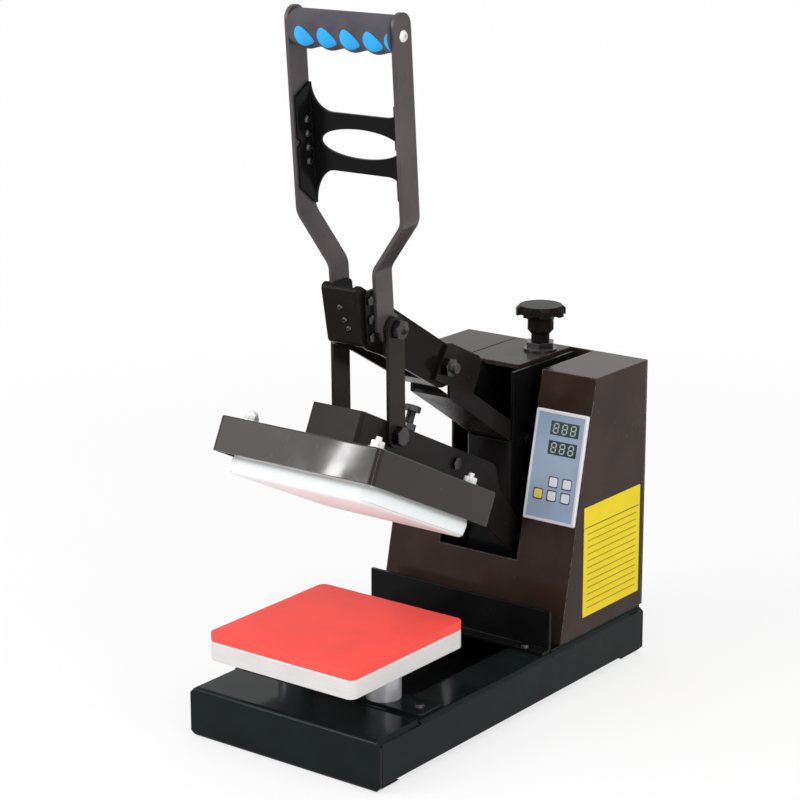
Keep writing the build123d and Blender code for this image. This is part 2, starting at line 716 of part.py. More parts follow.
# Non-stick cover, a tray drawn up round the heating plate
with BuildPart() as ptfe_cover:
    with BuildSketch(HEAD.offset(-HEAD_DEPTH)):
        RectangleRounded(COVER_SIZE, COVER_SIZE, COVER_CORNER)
    extrude(amount=HEAD_DEPTH - HOUSING_DEPTH + COVER_TUCK)
    fillet(ptfe_cover.faces().sort_by(head_up)[0].edges(), COVER_EDGE)
    with BuildSketch(HEAD.offset(-PLATE_BOTTOM)) as tray:
        RectangleRounded(
            COVER_SIZE - 2 * COVER_WALL, COVER_SIZE - 2 * COVER_WALL, COVER_CORNER - COVER_WALL
        )
    extrude(amount=HEAD_DEPTH, mode=Mode.SUBTRACT)
ptfe_cover.part.label = "ptfe_cover"
export_step(ptfe_cover.part, "parts/ptfe_cover.step")

with BuildPart() as housing_bolts:
    for x, y in HEAD_BOLTS:
        seat = Plane(origin=HEAD.from_local_coords((x, y, 0)), x_dir=(1, 0, 0), z_dir=HEAD.z_dir)
        with BuildSketch(seat) as washer:
            Circle(HEAD_WASHER_RADIUS)
        extrude(washer.sketch, amount=WASHER_HEIGHT)
        bolt_seat = seat.offset(WASHER_HEIGHT)
        bolt_reach = PLATE_TOP + BOLT_DEPTH
        add_hex_bolt(bolt_seat, HEAD_BOLT_RADIUS, bolt_reach, HEAD_BOLT_HEX, HEAD_BOLT_HEIGHT)
housing_bolts.part.label = "housing_bolts"
export_step(housing_bolts.part, "parts/housing_bolts.step")

# Arm of the head: a channel with a front wall, whose eyes turn on the column's bolt
ARM_INNER = COLUMN_HALF + FORK_GAP
ARM_OUTER = ARM_INNER + ARM_SHEET
arm_side = [
    (ARM_FRONT, 0),
    (ARM_FRONT, ARM_HEIGHT),
    (ARM_REAR, ARM_HEIGHT),
    ARM_HEEL,
    tangent_point(ARM_HEEL, HEAD_EYE, ARM_EYE, -1),
    tangent_point((HOUSING_LENGTH / 2, 0), HEAD_EYE, ARM_EYE, 1),
    (HOUSING_LENGTH / 2, 0),
]
with BuildPart() as platen_arm:
    with BuildSketch(head_side(0)) as arm_cheek:
        closed_outline(arm_side)
        fillet(arm_cheek.vertices().sort_by_distance((ARM_REAR, ARM_HEIGHT))[0], ARM_CROWN)
        with Locations(HEAD_EYE):
            Circle(ARM_EYE)
        with Locations(HEAD_EYE):
            Circle(PIVOT_RADIUS + PIN_CLEARANCE, mode=Mode.SUBTRACT)
        with Locations(TIE_PLACE):
            Circle(TIE_RADIUS / 2 + PIN_CLEARANCE, mode=Mode.SUBTRACT)
    extrude(amount=ARM_OUTER, both=True)
    front_corners = platen_arm.faces().sort_by(Axis(HEAD.origin, HEAD.y_dir))[0].edges().filter_by(head_up)
    fillet(front_corners, ARM_BEND)
    with BuildSketch(head_side(0)) as channel_room:
        with Locations((ARM_FRONT + ARM_SHEET + HOUSING_LENGTH, 0)):
            Rectangle(2 * HOUSING_LENGTH, 2 * HOUSING_LENGTH)
    extrude(amount=ARM_INNER, both=True, mode=Mode.SUBTRACT)
platen_arm.part.label = "platen_arm"
export_step(platen_arm.part, "parts/platen_arm.step")

# Spacer tube and stop plate between the arm's walls
with BuildPart() as arm_ties:
    with BuildSketch(head_side(0)) as spacer_tube:
        with Locations(TIE_PLACE):
            Circle(TIE_RADIUS)
            Circle(TIE_RADIUS / 2 + PIN_CLEARANCE, mode=Mode.SUBTRACT)
    extrude(amount=ARM_INNER, both=True)
    with BuildSketch(HEAD.offset(ARM_HEIGHT - STOP_PLATE_THICKNESS)):
        with Locations((0, STOP_PLACE[1])):
            Rectangle(2 * ARM_INNER, STOP_PLATE_LENGTH)
        with Locations(STOP_PLACE):
            Circle(STOP_RADIUS + PIN_CLEARANCE, mode=Mode.SUBTRACT)
    extrude(amount=STOP_PLATE_THICKNESS)
arm_ties.part.label = "arm_ties"
export_step(arm_ties.part, "parts/arm_ties.step")

TIE_YZ = head_point(*TIE_PLACE)
TIE_HEAD_RADIUS = 5.5
TIE_HEAD_HEIGHT = 3
STOP_RISE = 16
STOP_DROP = 24
with BuildPart() as arm_screws:
    add_round_screw(
        across(1, ARM_OUTER, TIE_YZ), TIE_RADIUS / 2, 2 * ARM_OUTER, TIE_HEAD_RADIUS, TIE_HEAD_HEIGHT
    )
    add_round_screw(across(-1, ARM_OUTER, TIE_YZ), TIE_RADIUS / 2, TRIM, TIE_HEAD_RADIUS, TIE_HEAD_HEIGHT)
    stop_foot = Plane(
        origin=HEAD.from_local_coords((STOP_PLACE[0], STOP_PLACE[1], ARM_HEIGHT)),
        x_dir=(1, 0, 0),
        z_dir=HEAD.z_dir,
    )
    add_nut(stop_foot, SMALL_HEX, SMALL_NUT_HEIGHT)
    stop_reach = STOP_RISE + STOP_DROP
    add_hex_bolt(stop_foot.offset(STOP_RISE), STOP_RADIUS, stop_reach, SMALL_HEX, SMALL_HEX_HEIGHT)
arm_screws.part.label = "arm_screws"
export_step(arm_screws.part, "parts/arm_screws.step")

# Long pivot bolts: one for the head's arm, one for the toggle


def add_pivot_bolt(point, outer):
    """A bolt right across the press, with a head on +X and a nut on -X."""
    bolt_reach = 2 * outer + PIVOT_HEX_HEIGHT + PIVOT_TAIL
    add_hex_bolt(across(1, outer, point), PIVOT_RADIUS, bolt_reach, PIVOT_HEX, PIVOT_HEX_HEIGHT)
    add_nut(across(-1, outer, point), PIVOT_HEX, PIVOT_HEX_HEIGHT)


with BuildPart() as arm_pivot_bolt:
    add_pivot_bolt(ARM_PIVOT_YZ, ARM_OUTER + SLIDE_GAP)
arm_pivot_bolt.part.label = "arm_pivot_bolt"
export_step(arm_pivot_bolt.part, "parts/arm_pivot_bolt.step")

with BuildPart() as toggle_pivot_bolt:
    add_pivot_bolt(TOGGLE_PIVOT_YZ, FORK_OUTER)
    with BuildSketch(across(1, FORK_OUTER + PIVOT_HEX_HEIGHT, TOGGLE_PIVOT_YZ)) as bolt_end:
        Circle(PIVOT_RADIUS)
    extrude(bolt_end.sketch, amount=TOGGLE_BOLT_END)
toggle_pivot_bolt.part.label = "toggle_pivot_bolt"
export_step(toggle_pivot_bolt.part, "parts/toggle_pivot_bolt.step")

# Upper arm: a folded bracket from the toggle pivot to the front, open above and below
KNEE_YZ = placed(KNEE_PIVOT)
top_tangent = tangent_point(UPPER_ARM_TOP, TOGGLE_PIVOT, UPPER_ARM_EYE, -1)
belly_tangent = tangent_point(UPPER_ARM_BELLY, TOGGLE_PIVOT, UPPER_ARM_EYE, 1)
upper_arm_side = [
    UPPER_ARM_TOP,
    UPPER_ARM_TOE,
    UPPER_ARM_CHIN,
    UPPER_ARM_BELLY,
    belly_tangent,
    top_tangent,
]
web_run = (UPPER_ARM_TOE[0] - UPPER_ARM_TOP[0], UPPER_ARM_TOE[1] - UPPER_ARM_TOP[1])
web_shift = UPPER_ARM_SHEET / (-web_run[1] / hypot(*web_run))
ROOM_ABOVE = 0.1
ROOM_BELOW = 0.4


def beyond_web(corner, share):
    """A point on the inner face of the arm's front web, moved along it by a share of its length."""
    return (corner[0] + web_shift + web_run[0] * share, corner[1] + web_run[1] * share)


with BuildPart() as upper_arm:
    with BuildSketch(Plane.YZ) as upper_cheek:
        closed_outline([placed(point) for point in upper_arm_side])
        front_corners = [placed(UPPER_ARM_TOP), placed(UPPER_ARM_TOE), placed(UPPER_ARM_CHIN)]
        fillet([upper_cheek.vertices().sort_by_distance(corner)[0] for corner in front_corners], UPPER_ARM_SOFT)
        with Locations(TOGGLE_PIVOT_YZ):
            Circle(UPPER_ARM_EYE)
        with Locations(TOGGLE_PIVOT_YZ, KNEE_YZ):
            Circle(PIVOT_RADIUS + PIN_CLEARANCE, mode=Mode.SUBTRACT)
    extrude(amount=UPPER_ARM_HALF, both=True)
    room_front_top = beyond_web(UPPER_ARM_TOP, -ROOM_ABOVE)
    room_front_toe = beyond_web(UPPER_ARM_TOE, ROOM_BELOW)
    room_rear = TOGGLE_PIVOT[0] + UPPER_ARM_EYE + TRIM
    room_floor = TOGGLE_PIVOT[1] - UPPER_ARM_EYE - TRIM
    with BuildSketch(Plane.YZ) as arm_room:
        closed_outline(
            [
                placed(room_front_top),
                placed(room_front_toe),
                placed((room_rear, room_floor)),
                placed((room_rear, room_front_top[1])),
            ]
        )
    extrude(amount=UPPER_ARM_HALF - UPPER_ARM_SHEET, both=True, mode=Mode.SUBTRACT)
upper_arm.part.label = "upper_arm"
export_step(upper_arm.part, "parts/upper_arm.step")

# Handle legs: flat bars joggled outwards, with round ends
LEAN_COS = cos(radians(LEG_LEAN))
LEAN_SIN = sin(radians(LEG_LEAN))
LEG_FOOT_YZ = placed(LEG_FOOT)
LEG_INNER = UPPER_ARM_HALF + LEG_SPACER
LEG_OUTER = LEG_INNER + LEG_THICKNESS
HANDLE = Plane(
    origin=(0, LEG_FOOT_YZ[0], LEG_FOOT_YZ[1]), x_dir=(1, 0, 0), z_dir=(0, -LEAN_COS, -LEAN_SIN)
)


def handle_side(x):
    """The handle's side view: local x runs to the rear across a leg, local y runs up it."""
    return Plane(
        origin=(x, LEG_FOOT_YZ[0], LEG_FOOT_YZ[1]), x_dir=(0, LEAN_COS, LEAN_SIN), z_dir=(1, 0, 0)
    )


def handle_point(back, rise):
    """A point of the handle's side view as a (Y, Z) pair."""
    place = handle_side(0).from_local_coords((back, rise))
    return (place.Y, place.Z)


knee_back = (KNEE_PIVOT[0] - LEG_FOOT[0]) * LEAN_COS
knee_rise = -(KNEE_PIVOT[0] - LEG_FOOT[0]) * LEAN_SIN
LEG_CENTRE_LOW = LEG_INNER + LEG_THICKNESS / 2
LEG_CENTRE_HIGH = LEG_SPREAD + LEG_THICKNESS / 2
LEG_END_RADIUS = LEG_WIDTH / 2
GRIP_SCREW_HOLE = GRIP_SCREW_RADIUS + PIN_CLEARANCE
BRACE_BOLT_RISES = [BRACE_CENTRE + BRACE_BOLT_PITCH * step for step in (-1.5, -0.5, 0.5, 1.5)]
for label, side in (("left_leg", -1), ("right_leg", 1)):
    with BuildPart() as leg:
        with BuildSketch(HANDLE) as bent_bar:
            with BuildLine():
                FilletPolyline(
                    (side * LEG_CENTRE_LOW, -LEG_EYE * 2),
                    (side * LEG_CENTRE_LOW, LEG_JOGGLE_START),
                    (side * LEG_CENTRE_HIGH, LEG_JOGGLE_END),
                    (side * LEG_CENTRE_HIGH, LEG_TOP + LEG_WIDTH),
                    radius=LEG_BEND,
                )
            trace(line_width=LEG_THICKNESS)
        extrude(amount=LEG_WIDTH, both=True)
        with BuildSketch(handle_side(0)) as bar_side:
            with Locations((0, LEG_TOP / 2)):
                Rectangle(LEG_WIDTH, LEG_TOP)
            with Locations((0, LEG_TOP)):
                Circle(LEG_END_RADIUS)
            with Locations((knee_back, knee_rise)):
                Circle(LEG_EYE)
            with Locations((knee_back, knee_rise)):
                Circle(PIVOT_RADIUS + PIN_CLEARANCE, mode=Mode.SUBTRACT)
            with Locations((0, GRIP_RISE)):
                Circle(GRIP_SCREW_HOLE, mode=Mode.SUBTRACT)
        extrude(amount=BASE_WIDTH / 2, both=True, mode=Mode.INTERSECT)
        with BuildSketch(handle_side(side * LEG_SPREAD)) as blind_holes:
            with Locations([(BRACE_BOLT_BACK, rise) for rise in BRACE_BOLT_RISES]):
                Circle(BRACE_BOLT_RADIUS + PIN_CLEARANCE)
        extrude(amount=side * BRACE_BOLT_THREAD, mode=Mode.SUBTRACT)
    leg.part.label = label
    export_step(leg.part, f"parts/{label}.step")

# Packing plates between the upper arm and the legs, with the screws that hold them
SPACER_FRONT = -21
SPACER_LOW = -10
SPACER_HIGH = 36
SPACER_SCREW_BACK = -15.8
SPACER_SCREW_RISES = (-3, 12, 28)
SPACER_SCREW_RADIUS = 2
SPACER_SCREW_HEAD = 4
SPACER_SCREW_HEIGHT = 2.2
SPACER_CORNER = 5
with BuildPart() as leg_spacers:
    for side in (-1, 1):
        with BuildSketch(handle_side(side * UPPER_ARM_HALF)) as packing:
            with Locations(((SPACER_FRONT + LEG_END_RADIUS) / 2, (SPACER_LOW + SPACER_HIGH) / 2)):
                RectangleRounded(LEG_END_RADIUS - SPACER_FRONT, SPACER_HIGH - SPACER_LOW, SPACER_CORNER)
            with Locations((knee_back, knee_rise)):
                Circle(PIVOT_RADIUS + PIN_CLEARANCE, mode=Mode.SUBTRACT)
            with Locations([(SPACER_SCREW_BACK, rise) for rise in SPACER_SCREW_RISES]):
                Circle(SPACER_SCREW_RADIUS + PIN_CLEARANCE, mode=Mode.SUBTRACT)
        extrude(packing.sketch, amount=side * LEG_SPACER)
leg_spacers.part.label = "leg_spacers"
export_step(leg_spacers.part, "parts/leg_spacers.step")

# Brace between the legs: a folded sheet with flared corners and a long window
BRACE_HALF = LEG_SPREAD - SHAFT_GAP
BRACE_TOP = BRACE_CENTRE + BRACE_BAND
BRACE_BOTTOM = BRACE_CENTRE - BRACE_BAND
BRACE_FLARE = BRACE_HALF - BRACE_FLAT_HALF
BRACE_BACK = LEG_END_RADIUS
with BuildPart() as handle_brace:
    with BuildSketch(HANDLE.offset(-BRACE_BACK)) as web_face:
        with BuildLine() as web_outline:
            upper_edge = Line((-BRACE_FLAT_HALF, BRACE_TOP), (BRACE_FLAT_HALF, BRACE_TOP))
            upper_right = EllipticalCenterArc(
                (BRACE_FLAT_HALF, BRACE_HORN_TOP),
                BRACE_FLARE - BRACE_SHEET,
                BRACE_HORN_TOP - BRACE_TOP,
                start_angle=-QUARTER_TURN,
                arc_size=QUARTER_TURN,
            )
            right_top_horn = Line((BRACE_HALF - BRACE_SHEET, BRACE_HORN_TOP), (BRACE_HALF, BRACE_HORN_TOP))
            right_side = Line((BRACE_HALF, BRACE_HORN_TOP), (BRACE_HALF, BRACE_HORN_BOTTOM))
            right_low_horn = Line((BRACE_HALF, BRACE_HORN_BOTTOM), (BRACE_HALF - BRACE_SHEET, BRACE_HORN_BOTTOM))
            lower_right = EllipticalCenterArc(
                (BRACE_FLAT_HALF, BRACE_HORN_BOTTOM),
                BRACE_FLARE - BRACE_SHEET,
                BRACE_BOTTOM - BRACE_HORN_BOTTOM,
                start_angle=0,
                arc_size=QUARTER_TURN,
            )
            lower_edge = Line((BRACE_FLAT_HALF, BRACE_BOTTOM), (0, BRACE_BOTTOM))
            mirror(about=Plane.YZ)
        make_face(web_outline.edges())
        with Locations((0, BRACE_CENTRE)):
            Ellipse(BRACE_WINDOW_WIDTH / 2, BRACE_WINDOW_HEIGHT / 2, mode=Mode.SUBTRACT)
    extrude(amount=BRACE_SHEET)
    for side in (-1, 1):
        with BuildSketch(handle_side(side * BRACE_HALF)) as tab:
            closed_outline(
                [
                    (BRACE_BACK, BRACE_HORN_BOTTOM),
                    (BRACE_BACK - BRACE_SHEET, BRACE_HORN_BOTTOM),
                    (BRACE_TAB_FRONT, BRACE_TAB_LOW),
                    (BRACE_TAB_FRONT, BRACE_CENTRE - BRACE_NOTCH),
                    (BRACE_TAB_FRONT + BRACE_NOTCH, BRACE_CENTRE),
                    (BRACE_TAB_FRONT, BRACE_CENTRE + BRACE_NOTCH),
                    (BRACE_TAB_FRONT, BRACE_TAB_HIGH),
                    (BRACE_BACK - BRACE_SHEET, BRACE_HORN_TOP),
                    (BRACE_BACK, BRACE_HORN_TOP),
                ]
            )
            with Locations([(BRACE_BOLT_BACK, rise) for rise in BRACE_BOLT_RISES]):
                Circle(BRACE_BOLT_RADIUS + PIN_CLEARANCE, mode=Mode.SUBTRACT)
        extrude(tab.sketch, amount=-side * BRACE_SHEET)
handle_brace.part.label = "handle_brace"
export_step(handle_brace.part, "parts/handle_brace.step")

# Screws of the handle: four through each brace tab, three through each packing plate
with BuildPart() as handle_screws:
    for side in (-1, 1):
        for rise in BRACE_BOLT_RISES:
            tab_seat = across(-side, -(BRACE_HALF - BRACE_SHEET), handle_point(BRACE_BOLT_BACK, rise))
            tab_reach = BRACE_SHEET + BRACE_BOLT_THREAD
            add_round_screw(tab_seat, BRACE_BOLT_RADIUS, tab_reach, BRACE_BOLT_HEAD, BRACE_BOLT_HEIGHT)
        for rise in SPACER_SCREW_RISES:
            packing_seat = across(side, LEG_INNER, handle_point(SPACER_SCREW_BACK, rise))
            add_round_screw(
                packing_seat, SPACER_SCREW_RADIUS, LEG_SPACER, SPACER_SCREW_HEAD, SPACER_SCREW_HEIGHT
            )
handle_screws.part.label = "handle_screws"
export_step(handle_screws.part, "parts/handle_screws.step")

# Grip: a turned bar, a foam sleeve with finger valleys, and coloured finger inserts
GRIP_YZ = handle_point(0, GRIP_RISE)
GRIP_HALF = LEG_SPREAD - SHAFT_GAP
GRIP_AXIS_PLANE = Plane(origin=(0, GRIP_YZ[0], GRIP_YZ[1]), x_dir=(1, 0, 0), z_dir=(0, -1, 0))
GRIP_SCREW_REACH = 18
with BuildPart() as grip_bar:
    with BuildSketch(across(1, -GRIP_HALF, GRIP_YZ)):
        Circle(GRIP_BAR_RADIUS)
    extrude(amount=2 * GRIP_HALF)
    for side in (-1, 1):
        with BuildSketch(across(side, GRIP_HALF, GRIP_YZ)) as tapped_end:
            Circle(GRIP_SCREW_HOLE)
        extrude(tapped_end.sketch, amount=-GRIP_SCREW_REACH, mode=Mode.SUBTRACT)
grip_bar.part.label = "grip_bar"
export_step(grip_bar.part, "parts/grip_bar.step")

SLEEVE_HALF = GRIP_HALF - SLIDE_GAP
SLEEVE_BORE = GRIP_BAR_RADIUS + PIN_CLEARANCE
VALLEYS = [GRIP_FIRST_VALLEY + GRIP_PITCH * step for step in range(4)]
ridge_ends = [-SLEEVE_HALF, *VALLEYS, SLEEVE_HALF]
INSERT_WIDTH = 13.5
INSERT_HEIGHT = 18
INSERT_TURN = 42
INSERT_OUTER = 14.6
insert_out = Plane(origin=(0, GRIP_YZ[0], GRIP_YZ[1]), x_dir=(1, 0, 0), z_dir=(0, -1, 0)).rotated(
    (INSERT_TURN, 0, 0)
)
with BuildPart() as grip_sleeve:
    with BuildSketch(GRIP_AXIS_PLANE) as lobed_half:
        with BuildLine() as lobes:
            Line((-SLEEVE_HALF, 0), (-SLEEVE_HALF, GRIP_VALLEY_RADIUS))
            for start, finish in zip(ridge_ends, ridge_ends[1:]):
                crest = GRIP_VALLEY_RADIUS + (GRIP_RADIUS - GRIP_VALLEY_RADIUS) * min(
                    1, (finish - start) / GRIP_PITCH
                )
                ThreePointArc(
                    (start, GRIP_VALLEY_RADIUS),
                    ((start + finish) / 2, crest),
                    (finish, GRIP_VALLEY_RADIUS),
                )
            Line((SLEEVE_HALF, GRIP_VALLEY_RADIUS), (SLEEVE_HALF, 0))
            Line((SLEEVE_HALF, 0), (-SLEEVE_HALF, 0))
        make_face(lobes.edges())
    revolve(axis=Axis((0, GRIP_YZ[0], GRIP_YZ[1]), (1, 0, 0)))
    with BuildSketch(across(1, -SLEEVE_HALF, GRIP_YZ)) as round_back:
        Circle(GRIP_RADIUS)
        with Locations((0, -GRIP_RADIUS)):
            Rectangle(4 * GRIP_RADIUS, 2 * GRIP_RADIUS, mode=Mode.SUBTRACT)
    extrude(amount=2 * SLEEVE_HALF)
    with BuildSketch(across(1, -SLEEVE_HALF, GRIP_YZ)) as bore:
        Circle(SLEEVE_BORE)
    extrude(amount=2 * SLEEVE_HALF, mode=Mode.SUBTRACT)
    with BuildSketch(insert_out) as pockets:
        with Locations([(x, 0) for x in VALLEYS]):
            Ellipse(INSERT_WIDTH / 2, INSERT_HEIGHT / 2)
    extrude(amount=2 * GRIP_RADIUS, mode=Mode.SUBTRACT)
grip_sleeve.part.label = "grip_sleeve"
export_step(grip_sleeve.part, "parts/grip_sleeve.step")

with BuildPart() as finger_inserts:
    with BuildSketch(insert_out) as insert_faces:
        with Locations([(x, 0) for x in VALLEYS]):
            Ellipse(INSERT_WIDTH / 2 - PIN_CLEARANCE, INSERT_HEIGHT / 2 - PIN_CLEARANCE)
    extrude(amount=2 * GRIP_RADIUS)
    with BuildSketch(across(1, -SLEEVE_HALF, GRIP_YZ)) as ring:
        Circle(INSERT_OUTER)
        Circle(SLEEVE_BORE, mode=Mode.SUBTRACT)
    extrude(amount=2 * SLEEVE_HALF, mode=Mode.INTERSECT)
finger_inserts.part.label = "finger_inserts"
export_step(finger_inserts.part, "parts/finger_inserts.step")

with BuildPart() as grip_screws:
    for side in (-1, 1):
        leg_face = LEG_SPREAD + LEG_THICKNESS
        screw_seat = across(side, leg_face, GRIP_YZ)
        screw_reach = leg_face - GRIP_HALF + GRIP_SCREW_REACH - 2 * TRIM
        add_round_screw(screw_seat, GRIP_SCREW_RADIUS, screw_reach, GRIP_SCREW_HEAD, GRIP_SCREW_HEIGHT)
grip_screws.part.label = "grip_screws"
export_step(grip_screws.part, "parts/grip_screws.step")

# Knee pin through arm, packing, legs and links, with washers between leg and link
LINK_INNER = ARM_OUTER + LINK_GAP
LINK_OUTER = LINK_INNER + LINK_SHEET
KNEE_HEAD = LINK_OUTER + SLIDE_GAP
KNEE_WASHER = 10
with BuildPart() as knee_pin:
    add_pivot_bolt(KNEE_YZ, KNEE_HEAD)
    for side in (-1, 1):
        with BuildSketch(across(side, LEG_OUTER, KNEE_YZ)) as knee_washer:
            Circle(KNEE_WASHER)
            Circle(PIVOT_RADIUS + PIN_CLEARANCE, mode=Mode.SUBTRACT)
        extrude(knee_washer.sketch, amount=LINK_INNER - LEG_OUTER - SLIDE_GAP)
knee_pin.part.label = "knee_pin"
export_step(knee_pin.part, "parts/knee_pin.step")

# Toggle links and the short pins at their lower ends
LUG_YZ = head_point(*LINK_LUG)
link_centre = ((KNEE_YZ[0] + LUG_YZ[0]) / 2, (KNEE_YZ[1] + LUG_YZ[1]) / 2)
link_length = hypot(KNEE_YZ[0] - LUG_YZ[0], KNEE_YZ[1] - LUG_YZ[1])
link_heading = degrees(atan2(KNEE_YZ[1] - LUG_YZ[1], KNEE_YZ[0] - LUG_YZ[0]))
for label, side in (("left_link", -1), ("right_link", 1)):
    with BuildPart() as link:
        with BuildSketch(Plane.YZ.offset(side * LINK_INNER)) as bar:
            with Locations(link_centre):
                SlotCenterToCenter(link_length, LINK_WIDTH, rotation=link_heading)
            with Locations(KNEE_YZ, LUG_YZ):
                Circle(PIVOT_RADIUS + PIN_CLEARANCE, mode=Mode.SUBTRACT)
        extrude(amount=side * LINK_SHEET)
    link.part.label = label
    export_step(link.part, f"parts/{label}.step")

with BuildPart() as link_pins:
    for side in (-1, 1):
        add_hex_bolt(across(side, LINK_OUTER, LUG_YZ), PIVOT_RADIUS, LINK_SHEET, PIVOT_HEX, PIVOT_HEX_HEIGHT)
link_pins.part.label = "link_pins"
export_step(link_pins.part, "parts/link_pins.step")

# Tower: one folded cover makes the sloping front, the right wall and the box's top
TOWER_FRONT = from_datum(TOWER_SETBACK)
TOWER_BACK = TOWER_FRONT + TOWER_DEPTH
TOWER_HALF = TOWER_WIDTH / 2
TOWER_BROW = TOWER_BACK - TOWER_TOP_DEPTH
SLOPE_RUN = TOWER_BROW - TOWER_FRONT
SLOPE_LENGTH = hypot(SLOPE_RUN, TOWER_HEIGHT)
SLOPE_SIN = SLOPE_RUN / SLOPE_LENGTH
SLOPE_COS = TOWER_HEIGHT / SLOPE_LENGTH
COVER_BACK = TOWER_BACK - TOWER_SHEET
SHEET_ON_SLOPE = TOWER_SHEET / SLOPE_COS
BEZEL_X = TOWER_HALF - BOX_MARGIN - BEZEL_WIDTH / 2
PANEL = Plane(
    origin=(BEZEL_X, TOWER_FRONT + BEZEL_RISE * SLOPE_SIN, DECK_TOP + BEZEL_RISE * SLOPE_COS),
    x_dir=(1, 0, 0),
    z_dir=(0, -SLOPE_COS, SLOPE_SIN),
)
WINDOW_WIDTH = BEZEL_WIDTH - 2 * BEZEL_BORDER - TRIM
WINDOW_HEIGHT = BEZEL_HEIGHT - 2 * BEZEL_BORDER - TRIM
COVER_SCREW_X = TOWER_HALF - TOWER_SHEET - COVER_LIP / 2
COVER_SCREW_RISES = (18, 115, 212)
COVER_SCREW_RADIUS = 2
COVER_SCREW_HEAD = 4
COVER_SCREW_HEIGHT = 2.2
cover_outside = [
    (TOWER_FRONT, DECK_TOP),
    (TOWER_BROW, TOWER_TOP),
    (COVER_BACK, TOWER_TOP),
    (COVER_BACK, DECK_TOP),
]
inner_front = TOWER_FRONT + SHEET_ON_SLOPE
inner_brow = TOWER_BROW + SHEET_ON_SLOPE - TOWER_SHEET * SLOPE_SIN / SLOPE_COS
cover_inside = [
    (inner_front, DECK_TOP),
    (inner_brow, TOWER_TOP - TOWER_SHEET),
    (COVER_BACK, TOWER_TOP - TOWER_SHEET),
    (COVER_BACK, DECK_TOP),
]
with BuildPart() as front_cover:
    with BuildSketch(Plane.YZ.offset(-TOWER_HALF)):
        closed_outline(cover_outside)
    extrude(amount=TOWER_WIDTH)
    with BuildSketch(Plane.YZ.offset(-TOWER_HALF + TOWER_SHEET)):
        closed_outline(cover_inside)
    extrude(amount=TOWER_WIDTH - 2 * TOWER_SHEET, mode=Mode.SUBTRACT)
    with BuildSketch(Plane.XZ) as gaps_in_front:
        closed_outline(
            [
                (BOX_INNER_SIDE, TOWER_TOP + TRIM),
                (BOX_INNER_SIDE, DECK_TOP + NOTCH_RISE),
                (NOTCH_LEFT, DECK_TOP + NOTCH_RISE),
                (NOTCH_LEFT, DECK_TOP + SHOULDER_RISE),
                (-TOWER_HALF - TRIM, DECK_TOP + SHOULDER_RISE),
                (-TOWER_HALF - TRIM, TOWER_TOP + TRIM),
            ]
        )
    extrude(amount=BASE_DEPTH, both=True, mode=Mode.SUBTRACT)
    with BuildSketch(Plane.YZ.offset(-TOWER_HALF)) as left_rear:
        with Locations((COVER_BACK - REAR_FLANGE / 2, TOWER_TOP / 2)):
            Rectangle(REAR_FLANGE, TOWER_TOP * 2)
    extrude(amount=TOWER_SHEET, mode=Mode.SUBTRACT)
    with BuildSketch(PANEL) as controller_window:
        Rectangle(WINDOW_WIDTH, WINDOW_HEIGHT)
    extrude(amount=-2 * TOWER_SHEET, mode=Mode.SUBTRACT)
    with BuildSketch(Plane.XZ.offset(-COVER_BACK)) as rear_lip:
        with Locations((TOWER_HALF - TOWER_SHEET - COVER_LIP / 2, DECK_TOP + TOWER_HEIGHT / 2)):
            Rectangle(COVER_LIP, TOWER_HEIGHT - 2 * TOWER_SHEET)
        with Locations([(COVER_SCREW_X, DECK_TOP + rise) for rise in COVER_SCREW_RISES]):
            Circle(COVER_SCREW_RADIUS + PIN_CLEARANCE, mode=Mode.SUBTRACT)
    extrude(amount=TOWER_SHEET)
front_cover.part.label = "front_cover"
export_step(front_cover.part, "parts/front_cover.step")

# Inner wall that closes the control box
with BuildPart() as box_wall:
    with BuildSketch(Plane.YZ.offset(BOX_INNER_SIDE)):
        closed_outline(cover_inside)
    extrude(amount=TOWER_SHEET)
box_wall.part.label = "box_wall"
export_step(box_wall.part, "parts/box_wall.step")

# Rear cover with a flange round the left side, cooling slots and two cut-outs
INLET_Z = DECK_TOP + INLET_RISE
SWITCH_Z = DECK_TOP + SWITCH_RISE
SLOT_COUNT = 6
SLOT_PITCH = 8
SLOT_LENGTH = 34
SLOT_WIDTH = 3
SLOT_RISE = 150
with BuildPart() as rear_cover:
    with BuildSketch(Plane.XZ.offset(-TOWER_BACK)) as back_panel:
        with Locations((0, DECK_TOP + TOWER_HEIGHT / 2)):
            Rectangle(TOWER_WIDTH, TOWER_HEIGHT)
        with Locations((REAR_FITTINGS_X, INLET_Z)):
            Rectangle(INLET_BODY[0] + SLIDE_GAP, INLET_BODY[1] + SLIDE_GAP, mode=Mode.SUBTRACT)
        with Locations((REAR_FITTINGS_X, SWITCH_Z)):
            Rectangle(SWITCH_BODY[0] + SLIDE_GAP, SWITCH_BODY[1] + SLIDE_GAP, mode=Mode.SUBTRACT)
        slot_rows = [DECK_TOP + SLOT_RISE + SLOT_PITCH * row for row in range(SLOT_COUNT)]
        with Locations([(REAR_FITTINGS_X, row) for row in slot_rows]):
            SlotOverall(SLOT_LENGTH, SLOT_WIDTH, mode=Mode.SUBTRACT)
        with Locations([(COVER_SCREW_X, DECK_TOP + rise) for rise in COVER_SCREW_RISES]):
            Circle(COVER_SCREW_RADIUS + PIN_CLEARANCE, mode=Mode.SUBTRACT)
    extrude(amount=TOWER_SHEET)
    with BuildSketch(Plane.YZ.offset(-TOWER_HALF)) as side_flange:
        with Locations((COVER_BACK - REAR_FLANGE / 2, (DECK_TOP + COLUMN_TOP) / 2)):
            Rectangle(REAR_FLANGE, COLUMN_TOP - DECK_TOP)
    extrude(amount=TOWER_SHEET)
rear_cover.part.label = "rear_cover"
export_step(rear_cover.part, "parts/rear_cover.step")

